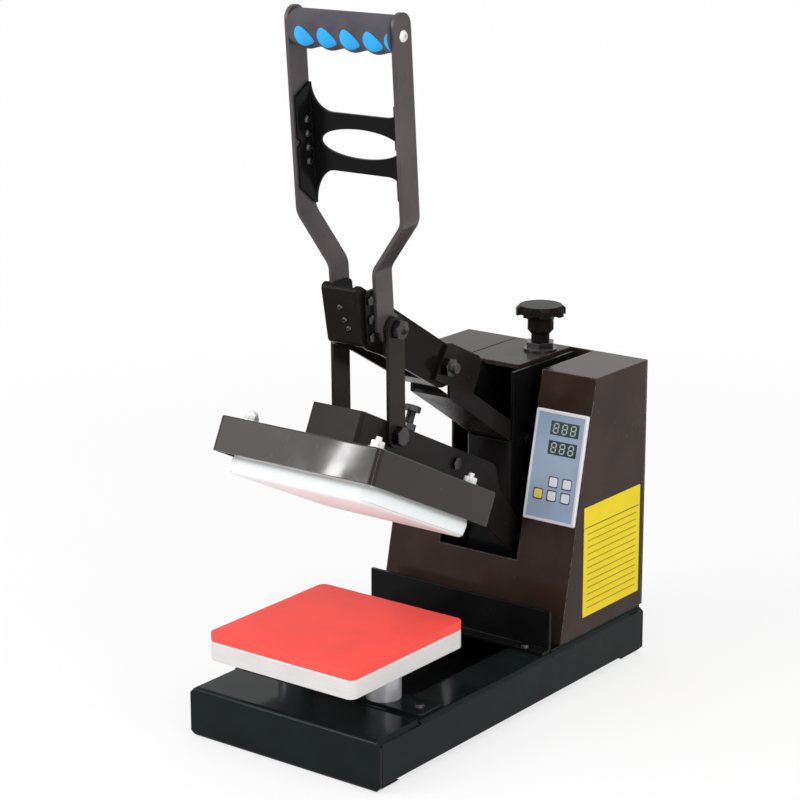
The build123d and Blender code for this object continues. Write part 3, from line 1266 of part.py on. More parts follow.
with BuildPart() as cover_screws:
    for rise in COVER_SCREW_RISES:
        rear_seat = Plane(
            origin=(COVER_SCREW_X, TOWER_BACK, DECK_TOP + rise), x_dir=(-1, 0, 0), z_dir=(0, 1, 0)
        )
        add_round_screw(
            rear_seat, COVER_SCREW_RADIUS, 3 * TOWER_SHEET, COVER_SCREW_HEAD, COVER_SCREW_HEIGHT
        )
cover_screws.part.label = "cover_screws"
export_step(cover_screws.part, "parts/cover_screws.step")

# Top plate over the column, folded down at the front and at the right edge
KNOB_Y = from_datum(KNOB_SETBACK)
top_centre = ((TOP_PLATE_EDGE - TOWER_HALF) / 2, (TOWER_BROW + COVER_BACK) / 2)
with BuildPart() as top_plate:
    with BuildSketch(Plane.XY.offset(TOWER_TOP - TOWER_SHEET)):
        with Locations(top_centre):
            Rectangle(TOP_PLATE_EDGE + TOWER_HALF, COVER_BACK - TOWER_BROW)
    extrude(amount=TOWER_SHEET)
    with BuildSketch(Plane.YZ.offset(TOP_PLATE_EDGE - TOWER_SHEET)) as right_flange:
        with Locations(((TOWER_BROW + COVER_BACK) / 2, TOWER_TOP - TOP_PLATE_DROP / 2)):
            Rectangle(COVER_BACK - TOWER_BROW, TOP_PLATE_DROP)
    extrude(amount=TOWER_SHEET)
    with BuildSketch(Plane.XZ.offset(-TOWER_BROW - TOWER_SHEET)) as front_lip:
        with Locations((top_centre[0], TOWER_TOP - TOP_PLATE_LIP / 2)):
            Rectangle(TOP_PLATE_EDGE + TOWER_HALF, TOP_PLATE_LIP)
    extrude(amount=TOWER_SHEET)
    with BuildSketch(Plane.XY.offset(TOWER_TOP - TOP_PLATE_LIP)) as cheek_room:
        with Locations((-COLUMN_HALF + COLUMN_SHEET / 2, TOWER_BROW)):
            Rectangle(COLUMN_SHEET + 2 * SLIDE_GAP, 4 * TOWER_SHEET)
    extrude(amount=TOP_PLATE_LIP - TOWER_SHEET, mode=Mode.SUBTRACT)
    with Locations((0, KNOB_Y, TOWER_TOP)):
        Hole(SCREW_RADIUS + SLIDE_GAP, depth=TOWER_SHEET)
top_plate.part.label = "top_plate"
export_step(top_plate.part, "parts/top_plate.step")

# Pressure adjustment: bush, screw, knob, and the nut that the screw draws up
KNOB_AXIS = Axis((0, KNOB_Y, 0), (0, 0, 1))
with BuildPart() as knob_bush:
    with BuildSketch(Plane.XY.offset(TOWER_TOP)):
        with Locations((0, KNOB_Y)):
            Circle(BUSH_RADIUS)
            Circle(SCREW_RADIUS + SHAFT_GAP, mode=Mode.SUBTRACT)
    extrude(amount=BUSH_HEIGHT / 4)
    with BuildSketch(Plane.XY.offset(TOWER_TOP + BUSH_HEIGHT / 4)):
        with Locations((0, KNOB_Y)):
            RegularPolygon(BUSH_HEX, HEX_SIDES, major_radius=False)
            Circle(SCREW_RADIUS + SHAFT_GAP, mode=Mode.SUBTRACT)
    extrude(amount=BUSH_HEIGHT * 3 / 4)
knob_bush.part.label = "knob_bush"
export_step(knob_bush.part, "parts/knob_bush.step")

KNOB_BOTTOM = TOWER_TOP + BUSH_HEIGHT + SLIDE_GAP
KNOB_TOP = KNOB_BOTTOM + KNOB_HEIGHT
SCREW_TOP = KNOB_BOTTOM + KNOB_HEIGHT - KNOB_DISC
with BuildPart() as pressure_screw:
    with BuildSketch(Plane.XY.offset(SCREW_TOP - SCREW_LENGTH)):
        with Locations((0, KNOB_Y)):
            Circle(SCREW_RADIUS)
    extrude(amount=SCREW_LENGTH)
    chamfer(pressure_screw.edges().group_by(Axis.Z)[0], TRIM)
pressure_screw.part.label = "pressure_screw"
export_step(pressure_screw.part, "parts/pressure_screw.step")

KNOB_COLLAR_TOP = KNOB_HEIGHT * 0.2
KNOB_HUB_START = KNOB_HEIGHT * 0.32
KNOB_HUB_END = KNOB_HEIGHT * 0.55
DISC_LOW = KNOB_HEIGHT - KNOB_DISC * 0.75
DISC_HIGH = KNOB_HEIGHT - KNOB_DISC * 0.25
DISC_CROWN = KNOB_RADIUS * 0.85
FLUTE_STEP = 360 / KNOB_FLUTES
SCALLOP_RADIUS = KNOB_RADIUS * sin(radians(FLUTE_STEP / 2)) * KNOB_TURN_IN
SCALLOP_CENTRE = KNOB_RADIUS + SCALLOP_RADIUS * 0.35
HUB_FLUTE_RADIUS = 3
HUB_FLUTE_CENTRE = KNOB_HUB_RADIUS + 1.6
with BuildPart() as pressure_knob:
    with BuildSketch(Plane(origin=(0, KNOB_Y, KNOB_BOTTOM), x_dir=(1, 0, 0), z_dir=(0, -1, 0))):
        with BuildLine() as knob_profile:
            Polyline(
                (0, 0),
                (KNOB_COLLAR_RADIUS, 0),
                (KNOB_COLLAR_RADIUS, KNOB_COLLAR_TOP),
                (KNOB_HUB_RADIUS, KNOB_HUB_START),
                (KNOB_HUB_RADIUS, KNOB_HUB_END),
            )
            under_disc = TangentArc((KNOB_HUB_RADIUS, KNOB_HUB_END), (KNOB_RADIUS, DISC_LOW), tangent=(0, 1))
            Polyline(
                (KNOB_RADIUS, DISC_LOW),
                (KNOB_RADIUS, DISC_HIGH),
                (DISC_CROWN, KNOB_HEIGHT),
                (0, KNOB_HEIGHT),
                (0, 0),
            )
        make_face(knob_profile.edges())
    revolve(axis=KNOB_AXIS)
    with BuildSketch(Plane.XY.offset(KNOB_BOTTOM + KNOB_HUB_START)) as scallops:
        with Locations((0, KNOB_Y)):
            with PolarLocations(SCALLOP_CENTRE, KNOB_FLUTES, start_angle=FLUTE_STEP / 2):
                Circle(SCALLOP_RADIUS)
    extrude(amount=KNOB_HEIGHT, mode=Mode.SUBTRACT)
    with BuildSketch(Plane.XY.offset(KNOB_BOTTOM + KNOB_COLLAR_TOP)) as hub_flutes:
        with Locations((0, KNOB_Y)):
            with PolarLocations(HUB_FLUTE_CENTRE, KNOB_FLUTES, start_angle=FLUTE_STEP / 2):
                Circle(HUB_FLUTE_RADIUS)
    extrude(amount=KNOB_HUB_END - KNOB_COLLAR_TOP, mode=Mode.SUBTRACT)
    with BuildSketch(Plane.XY.offset(KNOB_BOTTOM)) as screw_socket:
        with Locations((0, KNOB_Y)):
            Circle(SCREW_RADIUS + SHAFT_GAP)
    extrude(amount=SCREW_TOP - KNOB_BOTTOM, mode=Mode.SUBTRACT)
pressure_knob.part.label = "pressure_knob"
export_step(pressure_knob.part, "parts/pressure_knob.step")

NUT_HALF = FORK_INNER - SLIDE_GAP
NUT_CENTRE_Z = tail_top - FORK_TAIL_HEIGHT / 2
with BuildPart() as pressure_nut:
    with BuildSketch(Plane.XY.offset(NUT_CENTRE_Z - NUT_HEIGHT / 2)):
        with Locations((0, KNOB_Y)):
            RectangleRounded(2 * NUT_HALF, NUT_LENGTH, NUT_CORNER)
            Circle(SCREW_RADIUS + SHAFT_GAP, mode=Mode.SUBTRACT)
    extrude(amount=NUT_HEIGHT)
pressure_nut.part.label = "pressure_nut"
export_step(pressure_nut.part, "parts/pressure_nut.step")

# Temperature and time controller: case, bezel, front panel, displays and keys
KEY_COLUMNS = [KEY_GRID_X + KEY_PITCH_X * step for step in (-1, 0, 1)]
KEY_ROWS = [KEY_GRID_Y + KEY_PITCH_Y / 2, KEY_GRID_Y - KEY_PITCH_Y / 2]
KEY_PLACES = {
    "set_key": (KEY_COLUMNS[0], KEY_ROWS[1]),
    "up_key": (KEY_COLUMNS[1], KEY_ROWS[0]),
    "down_key": (KEY_COLUMNS[1], KEY_ROWS[1]),
    "mode_key": (KEY_COLUMNS[2], KEY_ROWS[0]),
    "timer_key": (KEY_COLUMNS[2], KEY_ROWS[1]),
}
KEY_GAP = 0.2
KEY_FLANGE = 0.6
KEY_FLANGE_THICKNESS = 1.2
KEY_ROOM = KEY_SIZE + 4
KEY_EDGE = 0.5
KEY_POCKET = KEY_FLANGE_THICKNESS + SLIDE_GAP + KEY_TRAVEL + SLIDE_GAP
with BuildPart() as controller_case:
    with BuildSketch(PANEL):
        Rectangle(WINDOW_WIDTH - 2 * SLIDE_GAP, WINDOW_HEIGHT - 2 * SLIDE_GAP)
    extrude(amount=-CASE_DEPTH)
    with BuildSketch(PANEL) as key_pocket:
        with Locations((KEY_GRID_X, KEY_GRID_Y)):
            RectangleRounded(2 * KEY_PITCH_X + KEY_ROOM, KEY_PITCH_Y + KEY_ROOM, KEY_CORNER)
    extrude(amount=-KEY_POCKET, mode=Mode.SUBTRACT)
controller_case.part.label = "controller_case"
export_step(controller_case.part, "parts/controller_case.step")

with BuildPart() as controller_bezel:
    with BuildSketch(PANEL):
        RectangleRounded(BEZEL_WIDTH, BEZEL_HEIGHT, BEZEL_CORNER)
        Rectangle(BEZEL_WIDTH - 2 * BEZEL_BORDER, BEZEL_HEIGHT - 2 * BEZEL_BORDER, mode=Mode.SUBTRACT)
    extrude(amount=BEZEL_THICKNESS)
    panel_out = Axis(PANEL.origin, PANEL.z_dir)
    chamfer(controller_bezel.faces().sort_by(panel_out)[-1].outer_wire().edges(), BEZEL_EDGE)
controller_bezel.part.label = "controller_bezel"
export_step(controller_bezel.part, "parts/controller_bezel.step")

PANEL_WIDTH = BEZEL_WIDTH - 2 * BEZEL_BORDER - 2 * SHAFT_GAP
PANEL_HEIGHT = BEZEL_HEIGHT - 2 * BEZEL_BORDER - 2 * SHAFT_GAP
with BuildPart() as controller_panel:
    with BuildSketch(PANEL):
        Rectangle(PANEL_WIDTH, PANEL_HEIGHT)
        with Locations([(DISPLAY_OFFSET, row) for row in DISPLAY_ROWS]):
            Rectangle(DISPLAY_WIDTH + 2 * SHAFT_GAP, DISPLAY_HEIGHT + 2 * SHAFT_GAP, mode=Mode.SUBTRACT)
        with Locations(list(KEY_PLACES.values())):
            RectangleRounded(
                KEY_SIZE + 2 * KEY_GAP, KEY_SIZE + 2 * KEY_GAP, KEY_CORNER + KEY_GAP, mode=Mode.SUBTRACT
            )
    extrude(amount=PANEL_THICKNESS)
controller_panel.part.label = "controller_panel"
export_step(controller_panel.part, "parts/controller_panel.step")

DISPLAY_RECESS = 0.5
with BuildPart() as displays:
    with BuildSketch(PANEL):
        with Locations([(DISPLAY_OFFSET, row) for row in DISPLAY_ROWS]):
            Rectangle(DISPLAY_WIDTH, DISPLAY_HEIGHT)
    extrude(amount=PANEL_THICKNESS - DISPLAY_RECESS)
displays.part.label = "displays"
export_step(displays.part, "parts/displays.step")

for label, place in KEY_PLACES.items():
    with BuildPart() as key:
        with BuildSketch(PANEL.offset(-SLIDE_GAP)):
            with Locations(place):
                RectangleRounded(KEY_SIZE, KEY_SIZE, KEY_CORNER)
        extrude(amount=SLIDE_GAP + PANEL_THICKNESS + KEY_PROUD)
        fillet(key.faces().sort_by(panel_out)[-1].edges(), KEY_EDGE)
        with BuildSketch(PANEL.offset(-SLIDE_GAP)) as key_flange:
            with Locations(place):
                RectangleRounded(KEY_SIZE + 2 * KEY_FLANGE, KEY_SIZE + 2 * KEY_FLANGE, KEY_CORNER)
        extrude(amount=-KEY_FLANGE_THICKNESS)
    key.part.label = label
    export_step(key.part, f"parts/{label}.step")

# Mains inlet with its three pins
REAR_FACE = Plane(origin=(REAR_FITTINGS_X, TOWER_BACK, 0), x_dir=(-1, 0, 0), z_dir=(0, 1, 0))
PIN_SIZE = (2, 4)
PIN_SPREAD = 7
PIN_STAGGER = 2
PIN_RECESS = 3
MOUTH_CORNER = 4
with BuildPart() as power_inlet:
    with BuildSketch(REAR_FACE) as inlet_flange:
        with Locations((0, INLET_Z)):
            RectangleRounded(*FITTING_FLANGE, FITTING_CORNER)
    extrude(amount=FITTING_FLANGE_THICKNESS)
    fillet(power_inlet.faces().sort_by(Axis.Y)[-1].edges(), TRIM)
    with BuildSketch(REAR_FACE) as inlet_body:
        with Locations((0, INLET_Z)):
            Rectangle(*INLET_BODY)
    extrude(amount=-INLET_BODY_DEPTH)
    mouth_face = REAR_FACE.offset(FITTING_FLANGE_THICKNESS)
    with BuildSketch(mouth_face) as mouth:
        with Locations((0, INLET_Z)):
            Rectangle(*INLET_MOUTH)
        chamfer(mouth.vertices().group_by(Axis.Y)[-1], MOUTH_CORNER)
    extrude(amount=-INLET_MOUTH_DEPTH, mode=Mode.SUBTRACT)
    with BuildSketch(mouth_face.offset(-INLET_MOUTH_DEPTH)) as blades:
        with Locations(
            (-PIN_SPREAD, INLET_Z - PIN_STAGGER), (0, INLET_Z + PIN_STAGGER), (PIN_SPREAD, INLET_Z - PIN_STAGGER)
        ):
            Rectangle(*PIN_SIZE)
    extrude(amount=INLET_MOUTH_DEPTH - PIN_RECESS)
power_inlet.part.label = "power_inlet"
export_step(power_inlet.part, "parts/power_inlet.step")

# Rocker switch: a frame in the rear cover and a rocker on two stub pins
ROCKER_CENTRE = (TOWER_BACK, SWITCH_Z)
ROCKER_LIP = 5
ROCKER_DISH = 3.7
ROCKER_TAIL = (6, 4)
ROCKER_ROOM = hypot(ROCKER_HEIGHT / 2, ROCKER_LIP) + SLIDE_GAP
ROCKER_SIDE_GAP = 0.25
with BuildPart() as switch_frame:
    with BuildSketch(REAR_FACE):
        with Locations((0, SWITCH_Z)):
            RectangleRounded(SWITCH_FLANGE_WIDTH, FITTING_FLANGE[1], FITTING_CORNER)
    extrude(amount=FITTING_FLANGE_THICKNESS)
    fillet(switch_frame.faces().sort_by(Axis.Y)[-1].edges(), TRIM)
    with BuildSketch(REAR_FACE) as switch_body:
        with Locations((0, SWITCH_Z)):
            Rectangle(SWITCH_BODY[0], SWITCH_BODY[1])
    extrude(amount=-SWITCH_BODY_DEPTH)
    with BuildSketch(REAR_FACE.offset(FITTING_FLANGE_THICKNESS)) as rocker_well:
        with Locations((0, SWITCH_Z)):
            Rectangle(ROCKER_WIDTH + 2 * ROCKER_SIDE_GAP, 2 * ROCKER_ROOM)
    extrude(amount=SWITCH_BACK_WALL - FITTING_FLANGE_THICKNESS - SWITCH_BODY_DEPTH, mode=Mode.SUBTRACT)
    with BuildSketch(Plane.YZ.offset(REAR_FITTINGS_X)) as stub_holes:
        with Locations(ROCKER_CENTRE):
            Circle(ROCKER_PIN + SHAFT_GAP)
    extrude(amount=ROCKER_WIDTH / 2 + STUB_LENGTH + SLIDE_GAP, both=True, mode=Mode.SUBTRACT)
switch_frame.part.label = "switch_frame"
export_step(switch_frame.part, "parts/switch_frame.step")

rocker_outline = [
    (-ROCKER_TAIL[0], -ROCKER_TAIL[1]),
    (ROCKER_LIP, -ROCKER_HEIGHT / 2),
    (ROCKER_DISH, 0),
    (ROCKER_LIP, ROCKER_HEIGHT / 2),
    (-ROCKER_TAIL[0], ROCKER_TAIL[1]),
]
with BuildPart() as power_rocker:
    tilted = Plane(
        origin=(REAR_FITTINGS_X, *ROCKER_CENTRE), x_dir=(0, 1, 0), z_dir=(1, 0, 0)
    ).rotated((-ROCKER_TILT, 0, 0))
    with BuildSketch(tilted) as rocker_side:
        closed_outline(rocker_outline)
    extrude(amount=ROCKER_WIDTH / 2, both=True)
    with BuildSketch(tilted) as stubs:
        Circle(ROCKER_PIN)
    extrude(amount=ROCKER_WIDTH / 2 + STUB_LENGTH, both=True)
power_rocker.part.label = "power_rocker"
export_step(power_rocker.part, "parts/power_rocker.step")
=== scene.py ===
# %% [markdown]
# # Dressing a small heat press
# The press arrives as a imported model: sixty closed solids in metres, grouped into moving bodies.
# Blender adds what metal and plastic look like up close, and leaves every size as it is.
# The solids themselves are never moved, so whatever is added here can be placed by plain numbers.

import json
import math

import bmesh
import bpy
import numpy as np
from mathutils import Euler, Matrix, Vector


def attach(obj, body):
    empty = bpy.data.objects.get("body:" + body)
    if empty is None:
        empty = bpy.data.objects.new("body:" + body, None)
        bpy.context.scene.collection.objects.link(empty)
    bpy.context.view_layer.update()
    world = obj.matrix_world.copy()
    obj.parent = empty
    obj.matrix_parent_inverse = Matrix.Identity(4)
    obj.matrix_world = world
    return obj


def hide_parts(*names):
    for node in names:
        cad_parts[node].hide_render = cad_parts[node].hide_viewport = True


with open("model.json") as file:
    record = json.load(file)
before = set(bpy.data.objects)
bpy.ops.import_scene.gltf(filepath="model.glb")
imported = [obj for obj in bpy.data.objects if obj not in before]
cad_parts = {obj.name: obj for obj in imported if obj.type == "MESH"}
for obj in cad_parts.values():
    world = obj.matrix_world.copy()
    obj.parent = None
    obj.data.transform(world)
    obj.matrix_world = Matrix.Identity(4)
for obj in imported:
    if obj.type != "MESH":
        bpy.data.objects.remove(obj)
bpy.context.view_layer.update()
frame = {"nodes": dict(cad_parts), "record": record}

# %% [markdown]
# ## The camera
# A product photograph is taken with a long lens from a few metres off, so upright edges stay
# nearly parallel. The lens, place and small roll below were solved from the base and the platen.
# The frame was cropped off centre, which a lens shift repeats without turning the camera.

# %% Place the camera
MM = 0.001
FRAME_PIXELS = 800
LENS_PIXELS = 2445.07
CAMERA_PLACE = Vector((1193.6, -1619.7, 812.9)) * MM
CAMERA_AZIMUTH = 38.158
CAMERA_ELEVATION = 14.875
CAMERA_ROLL = -0.367
OPTICAL_CENTRE = (353.66, 385.8)
NEAREST_SEEN = 0.05
FARTHEST_SEEN = 200

camera_data = bpy.data.cameras.new("camera")
camera_data.lens = LENS_PIXELS * camera_data.sensor_width / FRAME_PIXELS
camera_data.shift_x = (FRAME_PIXELS / 2 - OPTICAL_CENTRE[0]) / FRAME_PIXELS
camera_data.shift_y = (OPTICAL_CENTRE[1] - FRAME_PIXELS / 2) / FRAME_PIXELS
camera_data.clip_start = NEAREST_SEEN
camera_data.clip_end = FARTHEST_SEEN
camera = bpy.data.objects.new("camera", camera_data)
bpy.context.scene.collection.objects.link(camera)
bpy.context.scene.camera = camera
tilt = math.radians(90 - CAMERA_ELEVATION)
turn = math.radians(CAMERA_AZIMUTH)
upright = Euler((tilt, 0, turn)).to_matrix().to_4x4()
camera.matrix_world = (
    Matrix.Translation(CAMERA_PLACE)
    @ upright
    @ Matrix.Rotation(math.radians(CAMERA_ROLL), 4, "Z")
)
print("lens in mm:", round(camera_data.lens, 2))

# %% [markdown]
# ## Writing materials as sums
# A node material is a formula drawn as boxes. Written as Python it is easier to read and change.
# One small class wraps a socket, so that plus, minus and times add Math nodes, and one method
# adds any other node: its settings first, then the values or wires of its inputs.

# %% A class that wraps a socket
BEVEL_SAMPLES = 6


class Wire:
    """A node's output. Arithmetic on it adds Math nodes to the same tree."""

    def __init__(self, tree, socket):
        self.tree = tree
        self.socket = socket

    def node(self, kind, settings, values, output=0):
        """Adds a node of a kind, sets its settings, fills its inputs, and returns one output."""
        made = self.tree.nodes.new(kind)
        for name, value in settings.items():
            setattr(made, name, value)
        for key, value in values.items():
            if isinstance(value, Wire):
                self.tree.links.new(value.socket, made.inputs[key])
            else:
                made.inputs[key].default_value = value
        return Wire(self.tree, made.outputs[output])

    def maths(self, operation, *others):
        """Adds one Math node with this wire first."""
        values = {place: other for place, other in enumerate((self, *others))}
        return self.node("ShaderNodeMath", {"operation": operation}, values)

    def flipped(self, operation, first):
        """Adds one Math node with this wire second."""
        return self.node("ShaderNodeMath", {"operation": operation}, {0: first, 1: self})

    def __add__(self, other):
        return self.maths("ADD", other)

    def __radd__(self, other):
        return self.flipped("ADD", other)

    def __sub__(self, other):
        return self.maths("SUBTRACT", other)

    def __rsub__(self, other):
        return self.flipped("SUBTRACT", other)

    def __mul__(self, other):
        return self.maths("MULTIPLY", other)

    def __rmul__(self, other):
        return self.flipped("MULTIPLY", other)

    def clamped(self):
        """Keeps the value between 0 and 1."""
        return self.maths("MINIMUM", 1.0).maths("MAXIMUM", 0.0)

    def axis(self, letter):
        """One coordinate of a vector."""
        return self.node("ShaderNodeSeparateXYZ", {}, {0: self}, output="XYZ".index(letter))

    def noise(self, size, detail=3.0, stretch=(1.0, 1.0, 1.0)):
        """Cloudy noise around 0.5 whose lumps are about size metres across."""
        scaled = self.node("ShaderNodeMapping", {}, {"Vector": self, "Scale": stretch})
        values = {"Vector": scaled, "Scale": 1 / size, "Detail": detail}
        return self.node("ShaderNodeTexNoise", {}, values)

    def blend(self, low, high):
        """A colour between two colours, with this wire as the share of the second."""
        settings = {"data_type": "RGBA"}
        return self.node("ShaderNodeMix", settings, {0: self, 6: low, 7: high}, output=2)

    def between(self, low, high):
        """0 below low, 1 above high, and a smooth step from one to the other."""
        settings = {"interpolation_type": "SMOOTHSTEP"}
        return self.node("ShaderNodeMapRange", settings, {0: self, 1: low, 2: high})


def colour(red, green, blue):
    """An RGBA value from three linear numbers."""
    return (red, green, blue, 1.0)


def shaded(tint, share):
    """A tint made darker or lighter by one factor."""
    return colour(*[share * value for value in tint])


def new_material(name, **constants):
    """A Principled material. The constants are set on the shader's own sockets."""
    material = bpy.data.materials.new(name)
    material.use_nodes = True
    tree = material.node_tree
    tree.nodes.clear()
    output = tree.nodes.new("ShaderNodeOutputMaterial")
    shader = tree.nodes.new("ShaderNodeBsdfPrincipled")
    tree.links.new(shader.outputs[0], output.inputs[0])
    for socket, value in constants.items():
        shader.inputs[socket.replace("_", " ")].default_value = value
    place = tree.nodes.new("ShaderNodeTexCoord")
    return material, shader, Wire(tree, place.outputs["Object"])


def drive(shader, socket, wire):
    """Links a wire to one of the shader's inputs."""
    wire.tree.links.new(wire.socket, shader.inputs[socket])


def bump(height, strength, distance, base=None):
    """A bump from a height wire; distance is the real depth in metres."""
    values = {"Height": height, "Strength": strength, "Distance": distance}
    if base is not None:
        values["Normal"] = base
    return height.node("ShaderNodeBump", {}, values)


def soft_edges(wire, radius):
    """A normal that rounds the sharp edges of sheet metal by a small radius."""
    return wire.node("ShaderNodeBevel", {"samples": BEVEL_SAMPLES}, {"Radius": radius})


print("the socket class is ready")

# %% [markdown]
# ## Gloss powder coat
# Nearly every plate of the press is steel with baked black powder. It flows as it bakes and leaves
# a shallow skin like orange peel, so reflections wobble a little, and handling leaves haze, specks
# and short scratches. One recipe makes every tint: the housing is a warm brown black, the legs a
# purple grey, the base a cold black. Paint is drawn thin over sharp bends, and a pale tint is mixed
# in there: it is part wear and part painted highlight, for the light that rounded edges catch.


# %% A recipe for powder coat
PEEL_SIZE = 0.0011
HAZE_SIZE = 0.045
WEAR_SIZE = 0.006
SPECK_SIZE = 0.0022
SCRATCH_SIZE = 0.006
SCRATCH_STRETCH = (6, 1, 0.5)
PEEL_STRENGTH = 0.3
EDGE_BAND = (0.02, 0.25)
WEAR_BAND = (0.35, 0.65)
SPECK_BAND = (0.74, 0.78)
SCRATCH_BAND = (0.72, 0.76)


def powder_coat(name, tint, gloss, shine, edge_highlight_tint, edge=0.0009, wave=0.00004):
    """Tinted powder: peel bump of depth wave, hazy gloss, and a pale edge tint on bends, part wear
    and part painted highlight.
    """
    material, shader, place = new_material(name, Specular_IOR_Level=shine)
    peel_height = place.noise(PEEL_SIZE, detail=1.0) + 0.5 * place.noise(PEEL_SIZE * 5)
    rounded = soft_edges(place, edge)
    flat = place.node("ShaderNodeNewGeometry", {}, {}, output=1)
    settings = {"operation": "DOT_PRODUCT"}
    facing = rounded.node("ShaderNodeVectorMath", settings, {0: rounded, 1: flat}, output=1)
    along_edge = (1 - facing).between(*EDGE_BAND)
    haze = place.noise(HAZE_SIZE, detail=6.0)
    # Pale patches along the bends: part wear, part painted highlight standing in for edge glints.
    worn_and_highlit = along_edge * place.noise(WEAR_SIZE, detail=4.0).between(*WEAR_BAND)
    specks = place.noise(SPECK_SIZE, detail=2.0).between(*SPECK_BAND) * haze.between(0.4, 0.6)
    streaks = place.noise(SCRATCH_SIZE, detail=2.0, stretch=SCRATCH_STRETCH)
    scratches = streaks.between(*SCRATCH_BAND)
    marks_and_highlights = (worn_and_highlit + 0.4 * specks + 0.12 * scratches).clamped()
    mottle = haze.between(0.3, 0.75).blend(shaded(tint, 0.85), shaded(tint, 1.25))
    drive(shader, "Base Color", marks_and_highlights.blend(mottle, colour(*edge_highlight_tint)))
    drive(shader, "Roughness", (gloss + 0.12 * haze.between(0.4, 0.8) + 0.1 * scratches).clamped())
    drive(shader, "Normal", bump(peel_height, PEEL_STRENGTH, wave, rounded))
    return material


# The last colour given to each coat below is its edge tint: part wear, part painted highlight.
TOWER_TINT = (0.036, 0.0205, 0.0165)
TOWER_EDGE_HIGHLIGHT = (0.24, 0.235, 0.25)
FINE_WAVE = 0.00002
SMOOTH_WAVE = 0.000006
black_coat = powder_coat("black powder coat", (0.0085, 0.007, 0.006), 0.16, 0.05, (0.05, 0.045, 0.04))
# A darker copy of the black coat: painted shade for plates that sit behind others or inside the
# frame.
shade_black_coat = powder_coat(
    "shaded black powder coat", (0.0065, 0.006, 0.006), 0.2, 0.07, (0.03, 0.03, 0.03)
)
base_coat = powder_coat("base powder coat", (0.0062, 0.0105, 0.01), 0.08, 0.08, (0.05, 0.055, 0.052))
leg_coat = powder_coat("leg powder coat", (0.066, 0.052, 0.055), 0.26, 0.28, (0.1, 0.09, 0.09))
housing_coat = powder_coat(
    "housing powder coat", (0.017, 0.0095, 0.0085), 0.04, 0.3, (0.2, 0.2, 0.21), wave=SMOOTH_WAVE
)
tower_coat = powder_coat(
    "tower powder coat", TOWER_TINT, 0.14, 0.1, TOWER_EDGE_HIGHLIGHT, edge=0.0014, wave=FINE_WAVE
)
top_coat = powder_coat(
    "top plate coat", (0.03, 0.0205, 0.019), 0.14, 0.05, TOWER_EDGE_HIGHLIGHT, wave=FINE_WAVE
)
arm_coat = powder_coat("arm powder coat", (0.015, 0.0125, 0.0115), 0.2, 0.08, (0.07, 0.064, 0.06))
link_coat = powder_coat("link powder coat", (0.022, 0.017, 0.013), 0.2, 0.1, (0.06, 0.05, 0.045))
print("powder coats:", len(bpy.data.materials))

# %% [markdown]
# ## Bright metal
# The housing's bolts are zinc plated and the others blackened, the posts turned, the platen
# milled. Turning leaves fine rings and milling fine straight lines. A noise stretched sideways
# gives both, and left unstretched it gives the even grain of plating.

# %% A recipe for bare metal
PATCH_SIZE = 0.05
GRAIN_STRENGTH = 0.3
METAL_EDGE = 0.0004
RING_STRETCH = (0.05, 0.05, 1)
MILL_STRETCH = (0.04, 0.04, 1.5)


def bare_metal(name, tint, gloss, grain, depth, stretch=(1, 1, 1), metal=1.0):
    """Bare or plated metal with a grain of the given size and depth, and dull patches."""
    material, shader, place = new_material(name, Metallic=metal)
    streak = place.noise(grain, detail=4.0, stretch=stretch)
    patch = place.noise(PATCH_SIZE, detail=3.0)
    shade = (0.5 * patch + 0.5 * streak).between(0.3, 0.7)
    drive(shader, "Base Color", shade.blend(shaded(tint, 0.86), colour(*tint)))
    drive(shader, "Roughness", (gloss + 0.16 * streak).clamped())
    drive(shader, "Normal", bump(streak, GRAIN_STRENGTH, depth, soft_edges(place, METAL_EDGE)))
    return material


zinc = bare_metal("bright zinc", (0.86, 0.85, 0.85), 0.26, 0.0012, 0.00003, metal=0.6)
black_steel = bare_metal("blackened steel", (0.075, 0.07, 0.072), 0.22, 0.0009, 0.00003)
turned_steel = bare_metal(
    "turned steel", (0.66, 0.66, 0.7), 0.28, 0.0006, 0.00004, RING_STRETCH, metal=0.6
)
milled_metal = bare_metal(
    "milled aluminium", (0.76, 0.725, 0.725), 0.36, 0.0012, 0.00002, MILL_STRETCH, metal=0.4
)
dull_steel = bare_metal("oxidised sheath", (0.3, 0.28, 0.26), 0.4, 0.001, 0.00003)
print("metals are ready")

# %% [markdown]
# ## Plastics and rubbers
# Moulded parts have a fine spark finish, foam has open pores, silicone a slight bloom, and the
# non-stick cover is a smooth white skin. These differ in pore size, depth and gloss, so one
# recipe takes those three and a tint.

# %% A recipe for moulded and rubber parts
CLOUD_SIZE = 0.03
PORE_STRENGTH = 0.4
MOULDED_EDGE = 0.0004


def moulded(name, tint, gloss, pore, depth, spread=0.12, **constants):
    """A coloured plastic or rubber with pores of the given size and depth."""
    material, shader, place = new_material(name, **constants)
    pores = place.noise(pore, detail=2.0)
    cloud = place.noise(CLOUD_SIZE, detail=4.0)
    faded = cloud.between(0.3, 0.7).blend(shaded(tint, 1 - spread), colour(*tint))
    drive(shader, "Base Color", faded)
    drive(shader, "Roughness", (gloss + 0.1 * cloud).clamped())
    drive(shader, "Normal", bump(pores, PORE_STRENGTH, depth, soft_edges(place, MOULDED_EDGE)))
    return material


